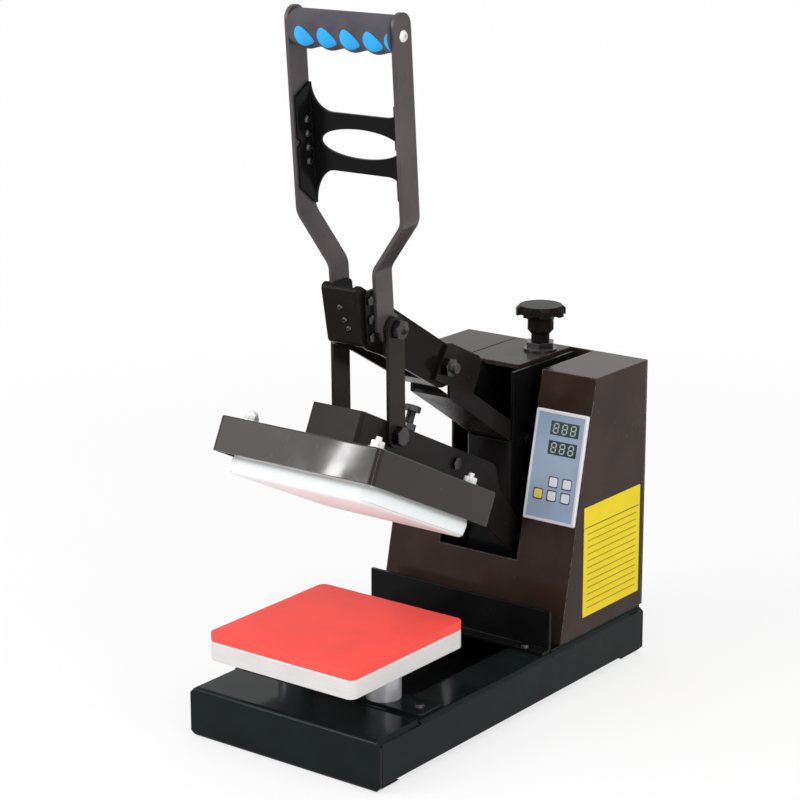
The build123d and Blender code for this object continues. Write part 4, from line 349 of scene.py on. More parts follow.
knob_plastic = moulded(
    "knob plastic", (0.012, 0.0095, 0.009), 0.14, 0.0008, 0.00002, Specular_IOR_Level=0.025
)
case_plastic = moulded("case plastic", (0.014, 0.014, 0.016), 0.42, 0.0006, 0.00004)
bezel_plastic = moulded("bezel plastic", (0.84, 0.84, 0.89), 0.35, 0.0008, 0.00002, spread=0.06)
panel_film = moulded("panel film", (0.36, 0.47, 0.62), 0.38, 0.0012, 0.00001, spread=0.1)
window_film = moulded("display window", (0.05, 0.075, 0.08), 0.12, 0.002, 0.00001)
yellow_key = moulded("yellow key", (0.85, 0.72, 0.14), 0.4, 0.0008, 0.00002, spread=0.06)
white_key = moulded("white key", (0.82, 0.85, 0.9), 0.4, 0.0008, 0.00002, spread=0.05)
rocker_red = moulded("rocker plastic", (0.42, 0.02, 0.015), 0.25, 0.0008, 0.00002)
foam = moulded(
    "grip foam", (0.085, 0.078, 0.095), 0.7, 0.0007, 0.00016, spread=0.25, Specular_IOR_Level=0.2
)
blue_foam = moulded(
    "finger inserts", (0.03, 0.42, 0.92), 0.6, 0.0009, 0.00012, Specular_IOR_Level=0.25
)
red_silicone = moulded(
    "red silicone", (0.98, 0.082, 0.066), 0.55, 0.0016, 0.00006, spread=0.06, Specular_IOR_Level=0.3
)
# The cover's white leans cyan to offset the pink light that the red pad throws on it: that share of
# its colour is painted light.
white_ptfe = moulded("white non-stick", (0.9, 0.945, 0.95), 0.45, 0.004, 0.00008, spread=0.03)
heater_board = moulded("heater board", (0.6, 0.54, 0.42), 0.7, 0.002, 0.0002)
print("plastics are ready")

# %% [markdown]
# ## Giving each solid its finish
# The record names a slot for every node, so a finish is chosen once per slot. The base plates
# share the black slot but look greener in the photograph, and the plates behind them take a darker
# copy of the black coat as painted shade, so a few nodes are named one by one.

# %% Dress the solids
SLOT_FINISH = {
    "black_coat": black_coat,
    "leg_coat": leg_coat,
    "housing_coat": housing_coat,
    "tower_coat": tower_coat,
    "link_coat": link_coat,
    "cast_platen": milled_metal,
    "red_silicone": red_silicone,
    "bright_zinc": black_steel,
    "turned_steel": turned_steel,
    "heater_board": heater_board,
    "heater_plate": milled_metal,
    "element_sheath": dull_steel,
    "white_ptfe": white_ptfe,
    "black_knob": knob_plastic,
    "foam_sleeve": foam,
    "blue_inserts": blue_foam,
    "case_plastic": case_plastic,
    "bezel_plastic": bezel_plastic,
    "panel_film": panel_film,
    "display_window": window_film,
    "yellow_key": yellow_key,
    "white_keys": white_key,
    "rocker_plastic": rocker_red,
}
NODE_FINISH = {
    "front_channel": base_coat,
    "rear_channel": base_coat,
    "left_rail": base_coat,
    "right_rail": base_coat,
    "cross_bar": base_coat,
    # These plates take the darker copy of the black coat as painted shade.
    "guard_plate": shade_black_coat,
    "deck_plate": shade_black_coat,
    "column": shade_black_coat,
    "box_wall": shade_black_coat,
    "handle_brace": shade_black_coat,
    "leg_spacers": shade_black_coat,
    "fork": arm_coat,
    "platen_arm": arm_coat,
    "posts": turned_steel,
    "top_plate": top_coat,
}
for subpart in frame["record"]["subparts"]:
    node = frame["nodes"][subpart["node"]]
    finish = NODE_FINISH.get(subpart["node"], SLOT_FINISH[subpart["material_slot"]])
    for place in node.material_slots:
        place.material = finish

# %% [markdown]
# ## Floor and light
# The photograph was cut out on white. The floor and the world are white to the camera and to gloss,
# while the floor under the press keeps a soft shadow. Large lamps give even light. Gloss paint also
# mirrors its lamps, so two narrow ones are placed by the mirror rule: the view ray turned about the
# surface normal points at the lamp. One draws the streak on the housing, the other the fine bright
# lines along the upright corners.

# %% Build the studio
FLOOR_SIZE = 120.0
ROOM_LIGHT = 0.55
NEAR_GLOW = 0.72
FAR_GLOW = 0.97
GLOW_REACH = (0.4, 1.6)
FLOOR_TINT = 0.92
world = bpy.data.worlds.new("studio")
world.use_nodes = True
bpy.context.scene.world = world
world.node_tree.nodes.clear()
sky_output = world.node_tree.nodes.new("ShaderNodeOutputWorld")
sky = world.node_tree.nodes.new("ShaderNodeBackground")


def seen_directly(tree):
    """1 for rays that come from the camera, from gloss or through glass, else 0."""
    rays = tree.nodes.new("ShaderNodeLightPath")
    kinds = ["Is Camera Ray", "Is Glossy Ray", "Is Transmission Ray"]
    first, second, third = [Wire(tree, rays.outputs[kind]) for kind in kinds]
    return first.maths("MAXIMUM", second).maths("MAXIMUM", third)


brightness = ROOM_LIGHT + (1 - ROOM_LIGHT) * seen_directly(world.node_tree)
world.node_tree.links.new(brightness.socket, sky.inputs["Strength"])
world.node_tree.links.new(sky.outputs[0], sky_output.inputs[0])
sky.inputs["Color"].default_value = colour(1, 1, 1)

floor_mesh = bpy.data.meshes.new("floor")
reach = FLOOR_SIZE / 2
floor_corners = [(-reach, -reach, 0), (reach, -reach, 0), (reach, reach, 0), (-reach, reach, 0)]
floor_mesh.from_pydata(floor_corners, [], [(0, 1, 2, 3)])
floor = bpy.data.objects.new("floor", floor_mesh)
bpy.context.scene.collection.objects.link(floor)
floor_paint, floor_shader, floor_place = new_material(
    "floor", Roughness=0.9, Specular_IOR_Level=0.0, Base_Color=shaded((1, 1, 1), FLOOR_TINT)
)
floor_tree = floor_paint.node_tree
glow = floor_tree.nodes.new("ShaderNodeEmission")
mixed = floor_tree.nodes.new("ShaderNodeMixShader")
from_press = floor_place.node("ShaderNodeVectorMath", {"operation": "LENGTH"}, {0: floor_place}, 1)
glow_share = NEAR_GLOW + (FAR_GLOW - NEAR_GLOW) * from_press.between(*GLOW_REACH)
floor_tree.links.new((glow_share * seen_directly(floor_tree)).socket, mixed.inputs[0])
floor_tree.links.new(floor_shader.outputs[0], mixed.inputs[1])
floor_tree.links.new(glow.outputs[0], mixed.inputs[2])
floor_tree.links.new(mixed.outputs[0], floor_tree.nodes["Material Output"].inputs[0])
floor_mesh.materials.append(floor_paint)


def soft_lamp(name, place, aim, width, height, power):
    """A rectangular lamp that faces a point and stays out of sight."""
    data = bpy.data.lights.new(name, "AREA")
    data.shape = "RECTANGLE"
    data.size = width
    data.size_y = height
    data.energy = power
    lamp = bpy.data.objects.new(name, data)
    bpy.context.scene.collection.objects.link(lamp)
    lamp.location = place
    direction = Vector(aim) - Vector(place)
    lamp.rotation_euler = direction.to_track_quat("-Z", "Y").to_euler()
    lamp.visible_camera = False


PRESS_MIDDLE = (0, 0, 0.28)
HOUSING_STREAK = (0.066, -0.178, 0.264)
STRIP_PLACE = Vector(HOUSING_STREAK) + 1.5 * Vector((-0.595, -0.678, 0.43))
CORNER_PLACE = Vector(PRESS_MIDDLE) + 1.8 * Vector((0.81, -0.57, 0.13))
# Each row: name, place, aim, width and height in metres, power in watts.
LAMPS = [
    ("key", (-1.7, -2.35, 1.85), PRESS_MIDDLE, 2.3, 2.3, 46),
    ("side", (2.6, -0.3, 1.9), PRESS_MIDDLE, 1.6, 1.4, 17),
    ("top", (0.2, 0.2, 2.7), PRESS_MIDDLE, 1.6, 1.6, 16),
    ("strip", STRIP_PLACE, HOUSING_STREAK, 0.02, 1.0, 2.2),
    ("corner", CORNER_PLACE, PRESS_MIDDLE, 0.07, 1.3, 5.0),
]
for lamp_row in LAMPS:
    soft_lamp(*lamp_row)
bpy.context.scene.view_settings.view_transform = "Standard"
print("lamps:", len(LAMPS))

# %% [markdown]
# ## Surfaces from arrays
# Every new piece below is a grid of points worked out at once with numpy. The rows and columns of
# the grid become quads; rows that meet in a point are merged, so poles and seams are closed.

# %% A grid of points becomes a piece
MERGE_DISTANCE = 1e-6
LEVEL_AXES = ((1, 0, 0), (0, 1, 0))


def grid_faces(rows, columns, start):
    """Quads between neighbouring rows and columns; the last column is joined to the first."""
    row = np.arange(rows - 1)[:, None]
    column = np.arange(columns)[None, :]
    following = (column + 1) % columns
    corners = (row * columns + column, row * columns + following)
    corners = (*corners, (row + 1) * columns + following, (row + 1) * columns + column)
    return start + np.stack(corners, axis=-1).reshape(-1, 4)


def make_piece(name, grids, finish, body, smooth_angle=35):
    """One object from a list of grids of points in metres, smooth up to an angle."""
    points = np.concatenate([grid.reshape(-1, 3) for grid in grids])
    starts = np.cumsum([0] + [grid.shape[0] * grid.shape[1] for grid in grids])
    faces = np.concatenate(
        [grid_faces(*grid.shape[:2], start) for grid, start in zip(grids, starts)]
    )
    mesh = bpy.data.meshes.new(name)
    mesh.from_pydata(points.tolist(), [], faces.tolist())
    shape = bmesh.new()
    shape.from_mesh(mesh)
    bmesh.ops.remove_doubles(shape, verts=shape.verts, dist=MERGE_DISTANCE)
    bmesh.ops.recalc_face_normals(shape, faces=shape.faces)
    shape.to_mesh(mesh)
    shape.free()
    mesh.shade_smooth()
    mesh.set_sharp_from_angle(angle=math.radians(smooth_angle))
    mesh.materials.append(finish)
    piece = bpy.data.objects.new(name, mesh)
    bpy.context.scene.collection.objects.link(piece)
    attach(piece, body)
    print(name, "faces:", len(mesh.polygons))
    return piece


def placed(points, origin, across, up):
    """Turns local (x, y, z) points in millimetres into metres; z is square to across and up."""
    across = np.array(across, float)
    up = np.array(up, float)
    frame_axes = np.stack([across, up, np.cross(across, up)])
    return (np.array(origin, float) + points @ frame_axes) * MM


def capped(rows):
    """Rows closed by a point on the axis at each end."""
    on_axis = [0, 0, 1]
    return np.concatenate([rows[:1] * on_axis, rows, rows[-1:] * on_axis])


# %% [markdown]
# ## Silicone pad
# The pad is a cut square of red silicone foam. A solid block would show knife-sharp edges, so
# its outline is a rounded square and its edge a small quarter round: the outline shrinks as the
# height rises, by the sine and cosine of one angle.


# %% Make the pad
FULL_TURN = 2 * np.pi
OFF_AXIS = 0.0001


def rounded_outline(half, corner, count=128):
    """Round a square or rectangle: each point is a corner's centre plus the radius times a side."""
    angle = np.linspace(0, FULL_TURN, count, endpoint=False) + OFF_AXIS
    side = np.stack([np.cos(angle), np.sin(angle)], axis=-1)
    return np.sign(side) * (half - corner), side


def slab(half, corner, edge, low, high, rings=7):
    """A slab with quarter-round top and bottom edges; rows run from centre to centre."""
    centre, side = rounded_outline(half, corner)
    quarter = np.linspace(0, np.pi / 2, rings)
    sine, cosine = np.sin(quarter), np.cos(quarter)
    shrink = np.concatenate([edge * (1 - sine), edge * (1 - cosine)])
    height = np.concatenate([low + edge * (1 - cosine), high - edge * (1 - sine)])
    outline = centre + side * (corner - shrink)[:, None, None]
    level = np.broadcast_to(height[:, None, None], (*outline.shape[:2], 1))
    return capped(np.concatenate([outline, level], axis=-1))


PAD_CENTRE = (0, -125.5, 0)
PAD_HALF = 76
PAD_CORNER = 7
PAD_EDGE = 1.2
PAD_LOW = 91.2
PAD_HIGH = 99.2
pad_points = slab(PAD_HALF, PAD_CORNER, PAD_EDGE, PAD_LOW, PAD_HIGH)
pad_grid = placed(pad_points, PAD_CENTRE, *LEVEL_AXES)
pad = make_piece("pad", [pad_grid], red_silicone, "root")
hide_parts("silicone_pad")

# %% [markdown]
# ## Shade plate in the base
# Looking down beside the platen, the inside of the base is black. A thin dark plate laid on the two
# folded feet closes the frame from below: it is painted shade, standing in for the shade inside the
# base. It is the pad's slab formula again, thin and nearly square at its corners, stretched along the
# base.

# %% Make the shade plate in the base
SHADE_PLATE_HALF = (96.0, 193.0)
SHADE_PLATE_LOW = 3.05
SHADE_PLATE_HIGH = 4.05
SHADE_PLATE_CORNER = 3
SHADE_PLATE_EDGE = 0.2
shade_plate_points = slab(SHADE_PLATE_HALF[0], SHADE_PLATE_CORNER, SHADE_PLATE_EDGE, SHADE_PLATE_LOW, SHADE_PLATE_HIGH, rings=3)
off_middle = np.abs(shade_plate_points[..., 1]) > 1
shade_plate_points[..., 1] += np.sign(shade_plate_points[..., 1]) * (SHADE_PLATE_HALF[1] - SHADE_PLATE_HALF[0]) * off_middle
shade_plate_grid = placed(shade_plate_points, (0, 0, 0), *LEVEL_AXES)
# A dark plate put as painted shade where the inside of the base lies in shadow.
make_piece("base_shade_plate", [shade_plate_grid], shade_black_coat, "root")

# %% [markdown]
# ## Turned and six-sided shapes
# Bolts, nuts and washers are profiles carried round an axis. A lathe keeps the radius the same all
# the way round; a hexagon divides it by the cosine of the angle from the nearest flat. A real
# bolt head is also turned to a cone at thirty degrees, which trims its six corners, so the height
# of the top edge falls with the radius. A thread is the same lathe with a radius that ripples
# along the axis and shifts by one pitch per turn.


# %% Shapes round an axis
HEX_COUNT = 72
UNDER_SHARE = 0.96
UNDER_EASE = 0.3
CONE_SHARE = 0.97
CROWN_SHARE = 0.93
THREAD_PITCH = 1.25
THREAD_DEPTH = 0.5
THREAD_COUNT = 24
THREAD_STEPS = 6
THREAD_RUNOUT = 0.8
WASHER_EASE = 0.25
ROD_EASE = 0.6


def lathe(profile, sides=0, count=48, turn=0.0):
    """Rows from a list of (radius, height); with sides, the radius follows a regular polygon."""
    angle = np.linspace(0, FULL_TURN, count, endpoint=False)
    radius, height = np.array(profile, float).T
    across = np.ones_like(angle)
    if sides:
        step = FULL_TURN / sides
        across = 1 / np.cos((angle + turn) % step - step / 2)
    ring = radius[:, None] * across
    flat = [ring * np.cos(angle), ring * np.sin(angle), np.broadcast_to(height[:, None], ring.shape)]
    return np.stack(flat, axis=-1)


def hex_head(flat, height, base=0.0, turn=0.0):
    """A hexagon head: its edge sinks by the radius past the cone times the tangent of 30 degrees."""
    profile = [(0, 0), (flat * UNDER_SHARE, 0), (flat, UNDER_EASE), (flat, height)]
    sides = lathe(profile, 6, HEX_COUNT, turn)
    radius = np.hypot(sides[..., 0], sides[..., 1])
    chamfer = np.clip(radius - flat * CONE_SHARE, 0, None) * math.tan(math.radians(30))
    sides[3, :, 2] -= chamfer[3]
    sides[2, :, 2] += chamfer[2] / 2
    crown = lathe([(flat * CROWN_SHARE, height), (0, height)], 0, HEX_COUNT)
    return np.concatenate([sides, crown]) + [0, 0, base]


def threaded(radius, low, high):
    """A rod whose radius is a triangle wave of height over pitch minus turn, smooth at its ends."""
    steps = int((high - low) / THREAD_PITCH * THREAD_STEPS) + 2
    height = np.linspace(low, high, steps)[:, None]
    angle = np.linspace(0, FULL_TURN, THREAD_COUNT, endpoint=False)[None, :]
    phase = (height / THREAD_PITCH - angle / FULL_TURN) % 1.0
    soft = np.clip(np.minimum(height - low, high - height) / THREAD_PITCH, 0, 1)
    radius = radius - THREAD_DEPTH * (np.abs(2 * phase - 1) * soft + (1 - soft) * THREAD_RUNOUT)
    flat = [radius * np.cos(angle), radius * np.sin(angle), height + 0 * angle]
    return capped(np.stack(flat, axis=-1))


def washer(outer, inner, thickness, base=0.0):
    """A flat ring with eased edges."""
    rim = outer - WASHER_EASE
    profile = [(inner, 0), (rim, 0), (outer, WASHER_EASE), (outer, thickness - WASHER_EASE)]
    return lathe([*profile, (rim, thickness), (inner, thickness), (inner, 0)]) + [0, 0, base]


def rod(radius, low, high):
    """A plain round bar with a small chamfer at each end."""
    rim = radius - ROD_EASE
    profile = [(0, low), (rim, low), (radius, low + ROD_EASE), (radius, high - ROD_EASE)]
    return lathe([*profile, (rim, high), (0, high)])


print("bolt shapes are ready")

# %% [markdown]
# ## Pivot bolts
# The toggle turns on five bolts. Each long one runs right across the press, with its head on the
# control box's side and a nut on the other, and a few turns of thread stand out of the nut. The
# plain closed solids had no chamfers or threads, so these pieces replace them on the same axes.

# %% Make the pivot bolts
TO_RIGHT = ((0, 1, 0), (0, 0, 1))
TO_LEFT = ((0, 1, 0), (0, 0, -1))
PIVOT_ROD = 5.0
PIVOT_FLAT = 7.4
PIVOT_HEAD = 6.9
PIVOT_SHANK = PIVOT_ROD - 0.05
PIVOT_THREAD = PIVOT_ROD - 0.2
BOSS_WIDE = 5.2
BOSS_NARROW = 4.8
BOSS_RISE = 0.1
STUB_START = 7
THREAD_END = 8.9


def cross_bolt(name, y, z, outer, body, stub=0.0, extra=()):
    """Head on +X, rod across, and nut with a threaded end on -X, at a point of the side view."""
    pivot = (0, y, z)
    top = outer + PIVOT_HEAD
    raised = top + BOSS_RISE
    boss = lathe([(0, top), (BOSS_WIDE, top), (BOSS_NARROW, raised), (0, raised)])
    head = [hex_head(PIVOT_FLAT, PIVOT_HEAD, outer, 0.3), boss]
    if stub:
        head.append(threaded(PIVOT_THREAD, top - 1, outer + STUB_START + stub))
    head.append(rod(PIVOT_SHANK, -outer, outer + 1))
    nut = [hex_head(PIVOT_FLAT, PIVOT_HEAD, outer, 0.8)]
    nut.append(threaded(PIVOT_THREAD, outer - 1, outer + THREAD_END))
    grids = [placed(grid, pivot, *TO_RIGHT) for grid in head]
    grids += [placed(grid, pivot, *TO_LEFT) for grid in nut]
    grids += [placed(grid, pivot, *side) for grid in extra for side in (TO_RIGHT, TO_LEFT)]
    return make_piece(name, grids, black_steel, body, smooth_angle=30)


toggle_bolt = cross_bolt("toggle_bolt", -1, 298.5, 21.0, "root", stub=5)
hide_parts("toggle_pivot_bolt")
arm_bolt = cross_bolt("arm_bolt", 102, 118, 27.0, "root")
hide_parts("arm_pivot_bolt")
knee_washer = washer(10, PIVOT_ROD + 0.1, 2.8, 24.0)
knee_bolt = cross_bolt("knee_bolt", -82, 348, 30.0, "handle", extra=[knee_washer])
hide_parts("knee_pin")

# %% [markdown]
# ## Small bolts
# The links' lower pins, the stop bolt with its jam nut, the tie bolt, the housing's bolts and the
# fork's bolts use the same shapes, smaller. The housing's four are bright zinc on wide washers, and
# the one at the front left carries a domed nut.


# %% Make the small bolts
def small_bolts(name, grids, finish, body, node):
    """One piece of fastener grids on a body, in place of a CAD node."""
    piece = make_piece(name, grids, finish, body, smooth_angle=30)
    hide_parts(node)


LEAN = math.radians(25.6)
LINK_PLACE = (0, -80.97, 258.0)
LINK_OUTER = 30.1
FORK_BOLTS_Y = (116, 146)
FORK_BOLTS_Z = 207.5
FORK_OUTER = 23.8
MEDIUM_FLAT = 6.4
NUT_HEIGHT = 5.9
HEAD_HEIGHT = 5.4
HOUSING_FLAT = 5.5
HOUSING_BOLTS_X = (-65, 65)
HOUSING_BOLTS_ALONG = (-70, 70)
DOME = [(5.4, 3.5), (5.3, 4.6), (4.9, 5.9), (4.1, 7.1), (3.0, 8.0), (1.6, 8.6), (0, 8.8)]
HEAD_ORIGIN = np.array([0, -91.93, 239.75])
HEAD_ALONG = np.array([0, math.cos(LEAN), -math.sin(LEAN)])
HEAD_UP = np.array([0, math.sin(LEAN), math.cos(LEAN)])
HEAD_AXES = ((1, 0, 0), tuple(HEAD_ALONG))


def on_head(x, along, up):
    """A point of the tilted head from its local place."""
    return HEAD_ORIGIN + np.array([x, 0, 0]) + HEAD_ALONG * along + HEAD_UP * up


pin_head = [hex_head(PIVOT_FLAT, PIVOT_HEAD, LINK_OUTER, 0.5), rod(PIVOT_SHANK, 27.1, 31)]
link_grids = [placed(grid, LINK_PLACE, *side) for grid in pin_head for side in (TO_RIGHT, TO_LEFT)]
small_bolts("link_bolts", link_grids, black_steel, "links", "link_pins")

tie_place = on_head(0, 99.5, 18)
tie_head = [hex_head(5.0, 3.0, 26.7, 0.2), rod(2.9, -26.7, 27)]
stop_parts = [hex_head(MEDIUM_FLAT, NUT_HEIGHT), threaded(4.0, -24, 17)]
stop_parts.append(hex_head(MEDIUM_FLAT, HEAD_HEIGHT, 16, 0.4))
arm_grids = [placed(grid, tie_place, *side) for grid in tie_head for side in (TO_RIGHT, TO_LEFT)]
arm_grids += [placed(grid, on_head(19, 28, 30), *HEAD_AXES) for grid in stop_parts]
small_bolts("arm_bolts", arm_grids, black_steel, "head", "arm_screws")

fork_grids = []
fork_head = [hex_head(MEDIUM_FLAT, HEAD_HEIGHT, FORK_OUTER, 0.3), rod(3.95, -FORK_OUTER, 24.8)]
fork_nut = [hex_head(MEDIUM_FLAT, NUT_HEIGHT, FORK_OUTER, 0.7), threaded(3.9, 22.8, 28.5)]
for y in FORK_BOLTS_Y:
    fork_grids += [placed(grid, (0, y, FORK_BOLTS_Z), *TO_RIGHT) for grid in fork_head]
    fork_grids += [placed(grid, (0, y, FORK_BOLTS_Z), *TO_LEFT) for grid in fork_nut]
small_bolts("fork_fasteners", fork_grids, black_steel, "root", "fork_bolts")

housing_grids = []
for x in HOUSING_BOLTS_X:
    for along in HOUSING_BOLTS_ALONG:
        parts = [washer(7.4, 3.1, 1.5), rod(2.95, -29, 3)]
        if x < 0 and along < 0:
            parts += [hex_head(HOUSING_FLAT, 3.6, 1.5, 0.5), lathe(DOME) + [0, 0, 1.2]]
        else:
            parts += [hex_head(HOUSING_FLAT, 5.2, 1.5, 0.2 + x / 90), threaded(2.9, 6, 10)]
        housing_grids += [placed(part, on_head(x, along, 0), *HEAD_AXES) for part in parts]
small_bolts("housing_fasteners", housing_grids, zinc, "head", "housing_bolts")

# %% [markdown]
# ## Button screws
# Brace, front web and grip are held by button screws: a low dome with a six-sided socket for the
# key. The dome is a lathe profile, and the socket is the same profile carried down inside it with
# six sides. The packing plates on the upper arm have small hexagon heads instead.

# %% Make the button screws
RIM_RISE = 0.15
SOCKET_MOUTH = 1.2
WELL_TOP = 0.97
WELL_FOOT = 0.35
WELL_CENTRE = 0.3


def button(radius, height, socket):
    """A dome from its rim to the socket's mouth, then down the six-sided wall to the floor."""
    share = np.linspace(0, 1, 7)
    dome_radius = radius - (radius - socket * SOCKET_MOUTH) * share
    dome_height = height * np.sin(np.pi / 2 * (RIM_RISE + (1 - RIM_RISE) * share))
    outside = lathe([(0, 0), (radius, 0), *zip(dome_radius, dome_height)])
    well = [(socket, height * WELL_TOP), (socket, height * WELL_FOOT), (0, height * WELL_CENTRE)]
    return np.concatenate([outside, lathe(well, 6)])


BRACE_RISES = (131.75, 143.25, 154.75, 166.25)
BRACE_FACE = 48.65
BRACE_BACK = 3
PACKING_RISES = (-3, 12, 28)
PACKING_FACE = 20.5
PACKING_BACK = -15.8
GRIP_RISE = 241.5
GRIP_END = 54.7
HANDLE_LEAN = math.radians(4.36)
FOOT = np.array([0, -87.5, 348.0])
LEG_BACK = np.array([0, math.cos(HANDLE_LEAN), math.sin(HANDLE_LEAN)])
LEG_UP = np.array([0, -math.sin(HANDLE_LEAN), math.cos(HANDLE_LEAN)])


def on_handle(x, back, rise):
    """A point of the leaning handle from its side view."""
    return FOOT + np.array([x, 0, 0]) + LEG_BACK * back + LEG_UP * rise


screw_grids = []
for sign in (-1, 1):
    inward = TO_RIGHT if sign < 0 else TO_LEFT
    outward = TO_LEFT if sign < 0 else TO_RIGHT
    for rise in BRACE_RISES:
        spot = on_handle(sign * BRACE_FACE, BRACE_BACK, rise)
        shape = [button(3.8, 2.2, 1.3), rod(1.95, -4.9, 0.5)]
        screw_grids += [placed(part, spot, *inward) for part in shape]
    for rise in PACKING_RISES:
        spot = on_handle(sign * PACKING_FACE, PACKING_BACK, rise)
        shape = [hex_head(3.6, 2.1, 0, 0.4), rod(1.95, -2.8, 0.5)]
        screw_grids += [placed(part, spot, *outward) for part in shape]
WEB_SCREWS = [(-0.5, -117.2, 368.7), (3.0, -115.3, 358.3), (6.0, -113.95, 351.2)]
WEB_AXES = ((1, 0, 0), (0, -0.183, 0.983))
web_screw = [button(2.6, 1.6, 1.0), rod(1.5, -2.5, 0.4)]
for spot in WEB_SCREWS:
    screw_grids += [placed(part, spot, *WEB_AXES) for part in web_screw]
small_bolts("handle_fasteners", screw_grids, black_steel, "handle", "handle_screws")

grip_grids = []
for sign in (-1, 1):
    outward = TO_LEFT if sign < 0 else TO_RIGHT
    spot = on_handle(sign * GRIP_END, 0, GRIP_RISE)
    shape = [button(4.8, 2.6, 1.6), rod(2.95, -16, 0.5)]
    grip_grids += [placed(part, spot, *outward) for part in shape]
small_bolts("grip_fasteners", grip_grids, zinc, "handle", "grip_screws")

# %% [markdown]
# ## Foam grip
# The grip is a foam sleeve with shallow hollows for the fingers on its lower front. Its radius is
# the full radius less a hollow: a raised cosine along the bar, times a smooth step of the angle
# that leaves the top and back round.


# %% Make the sleeve
GRIP_PLACE = (0, -105.86, 588.8)
SLEEVE_HALF = 50.8
SLEEVE_RADIUS = 16.0
SLEEVE_EASE = 1.2
BORE_RADIUS = 9.1
HOLLOW_DEPTH = 3.0
HOLLOW_PITCH = 23.0
FIRST_HOLLOW = -48.5
HOLLOW_ANGLE = math.radians(-42)
HOLLOW_SPREAD = 0.75


def sleeve_radius(x, angle):
    """Full radius less the hollow: raised cosine along x times a smooth step of the angle."""
    wave = 0.5 + 0.5 * np.cos(FULL_TURN * (x - FIRST_HOLLOW) / HOLLOW_PITCH)
    off = np.abs((angle - HOLLOW_ANGLE + np.pi) % FULL_TURN - np.pi)
    share = np.clip((off - HOLLOW_SPREAD) / HOLLOW_SPREAD, 0, 1)
    return SLEEVE_RADIUS - HOLLOW_DEPTH * wave * (1 - share * share * (3 - 2 * share))


def round_bar(x, radius, angle):
    """Points on a bar along x: angle 0 faces the front, a quarter turn faces up."""
    return np.stack([x, -radius * np.cos(angle), radius * np.sin(angle)], axis=-1)


def make_sleeve():
    """Rows along the bar, closed by rounded ends and the bore."""
    angle = np.linspace(0, FULL_TURN, 96, endpoint=False)[None, :]
    x = np.linspace(-SLEEVE_HALF, SLEEVE_HALF, 180)[:, None]
    end = np.clip((SLEEVE_HALF - np.abs(x)) / SLEEVE_EASE, 0, 1)
    radius = sleeve_radius(x, angle) - SLEEVE_EASE * (1 - np.sqrt(1 - (1 - end) ** 2))
    outside = round_bar(x + 0 * angle, radius, angle + 0 * x)
    flat = 0 * angle
    bore = [round_bar(side * SLEEVE_HALF + flat, BORE_RADIUS + flat, angle) for side in (-1, 1)]
    return np.concatenate([bore[0], outside, bore[1], bore[0]])


sleeve_grid = make_sleeve() * MM + np.array(GRIP_PLACE) * MM
sleeve = make_piece("foam_sleeve", [sleeve_grid], foam, "handle", smooth_angle=60)
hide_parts("grip_sleeve")

# %% [markdown]
# ## Finger inserts
# Soft blue eggs are let into the swellings between the hollows. An egg is drawn on the unrolled
# sleeve: a cosine gives its place along the bar and a sine its angle, and the cosine's share
# shrinks towards the top. Its surface is the sleeve's own radius and a little more.

# %% Make the finger inserts
INSERT_PROUD = 0.5
INSERT_LIMIT = SLEEVE_HALF - 0.4
INSERT_ANGLE = math.radians(-21)
INSERT_WIDTH = 7.9
INSERT_HEIGHT = 9.4
INSERT_TAPER = 0.22
INSERT_SLANT = 2.4
INSERT_PLACES = [-34.5, -11.7, 11.2, 34.0, 54.0]


def insert(place):
    """An egg on the sleeve: share of the way out by turn, thin at the rim and crowned inside."""
    share = np.concatenate([np.linspace(0, 1, 9), [1.0, 0.0]])[:, None]
    turn = np.linspace(0, FULL_TURN, 48, endpoint=False)[None, :]
    narrow = 1 - INSERT_TAPER * np.sin(turn)
    x = place + share * (INSERT_WIDTH * narrow * np.cos(turn) - INSERT_SLANT * np.sin(turn))
    x = np.clip(x, None, INSERT_LIMIT)
    arc = INSERT_ANGLE + share * INSERT_HEIGHT * np.sin(turn) / SLEEVE_RADIUS
    lift = INSERT_PROUD * np.sqrt(np.clip(1 - share**6, 0, 1))
    lift[-2:] = -1.0
    return round_bar(x, sleeve_radius(x, arc) + lift, arc)


insert_grids = [insert(place) * MM + np.array(GRIP_PLACE) * MM for place in INSERT_PLACES]
inserts = make_piece(
    "blue_inserts", insert_grids, blue_foam, "handle", smooth_angle=60
)
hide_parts("finger_inserts")

# %% [markdown]
# ## Non-stick cover
# The heating plate is dressed in a white non-stick sheet drawn up round its edges. It has no sharp
# corner anywhere, and the drawn sides are a little wavy, so the outline of the slab is pushed in
# by three sines of the angle, more strongly low down where the sheet is free.

# %% Make the cover
COVER_HALF = 76
COVER_CORNER = 13
COVER_EDGE = 6.5
COVER_LOW = -44.5
COVER_HIGH = -28.2
FREE_BELOW = -30
FREE_FADE = 8
FOOT_FADE = 2
FOOT_CLEAR = 0.05
SAG_BELOW = -40
SAG_BEYOND = 60
WAVE_DEPTH = 0.9
SAG_DEPTH = 0.35
# Each row: share, waves round the cover and start of one sine.
WAVES = [(0.5, 9, 1), (0.35, 17, 0), (0.25, 31, 2)]


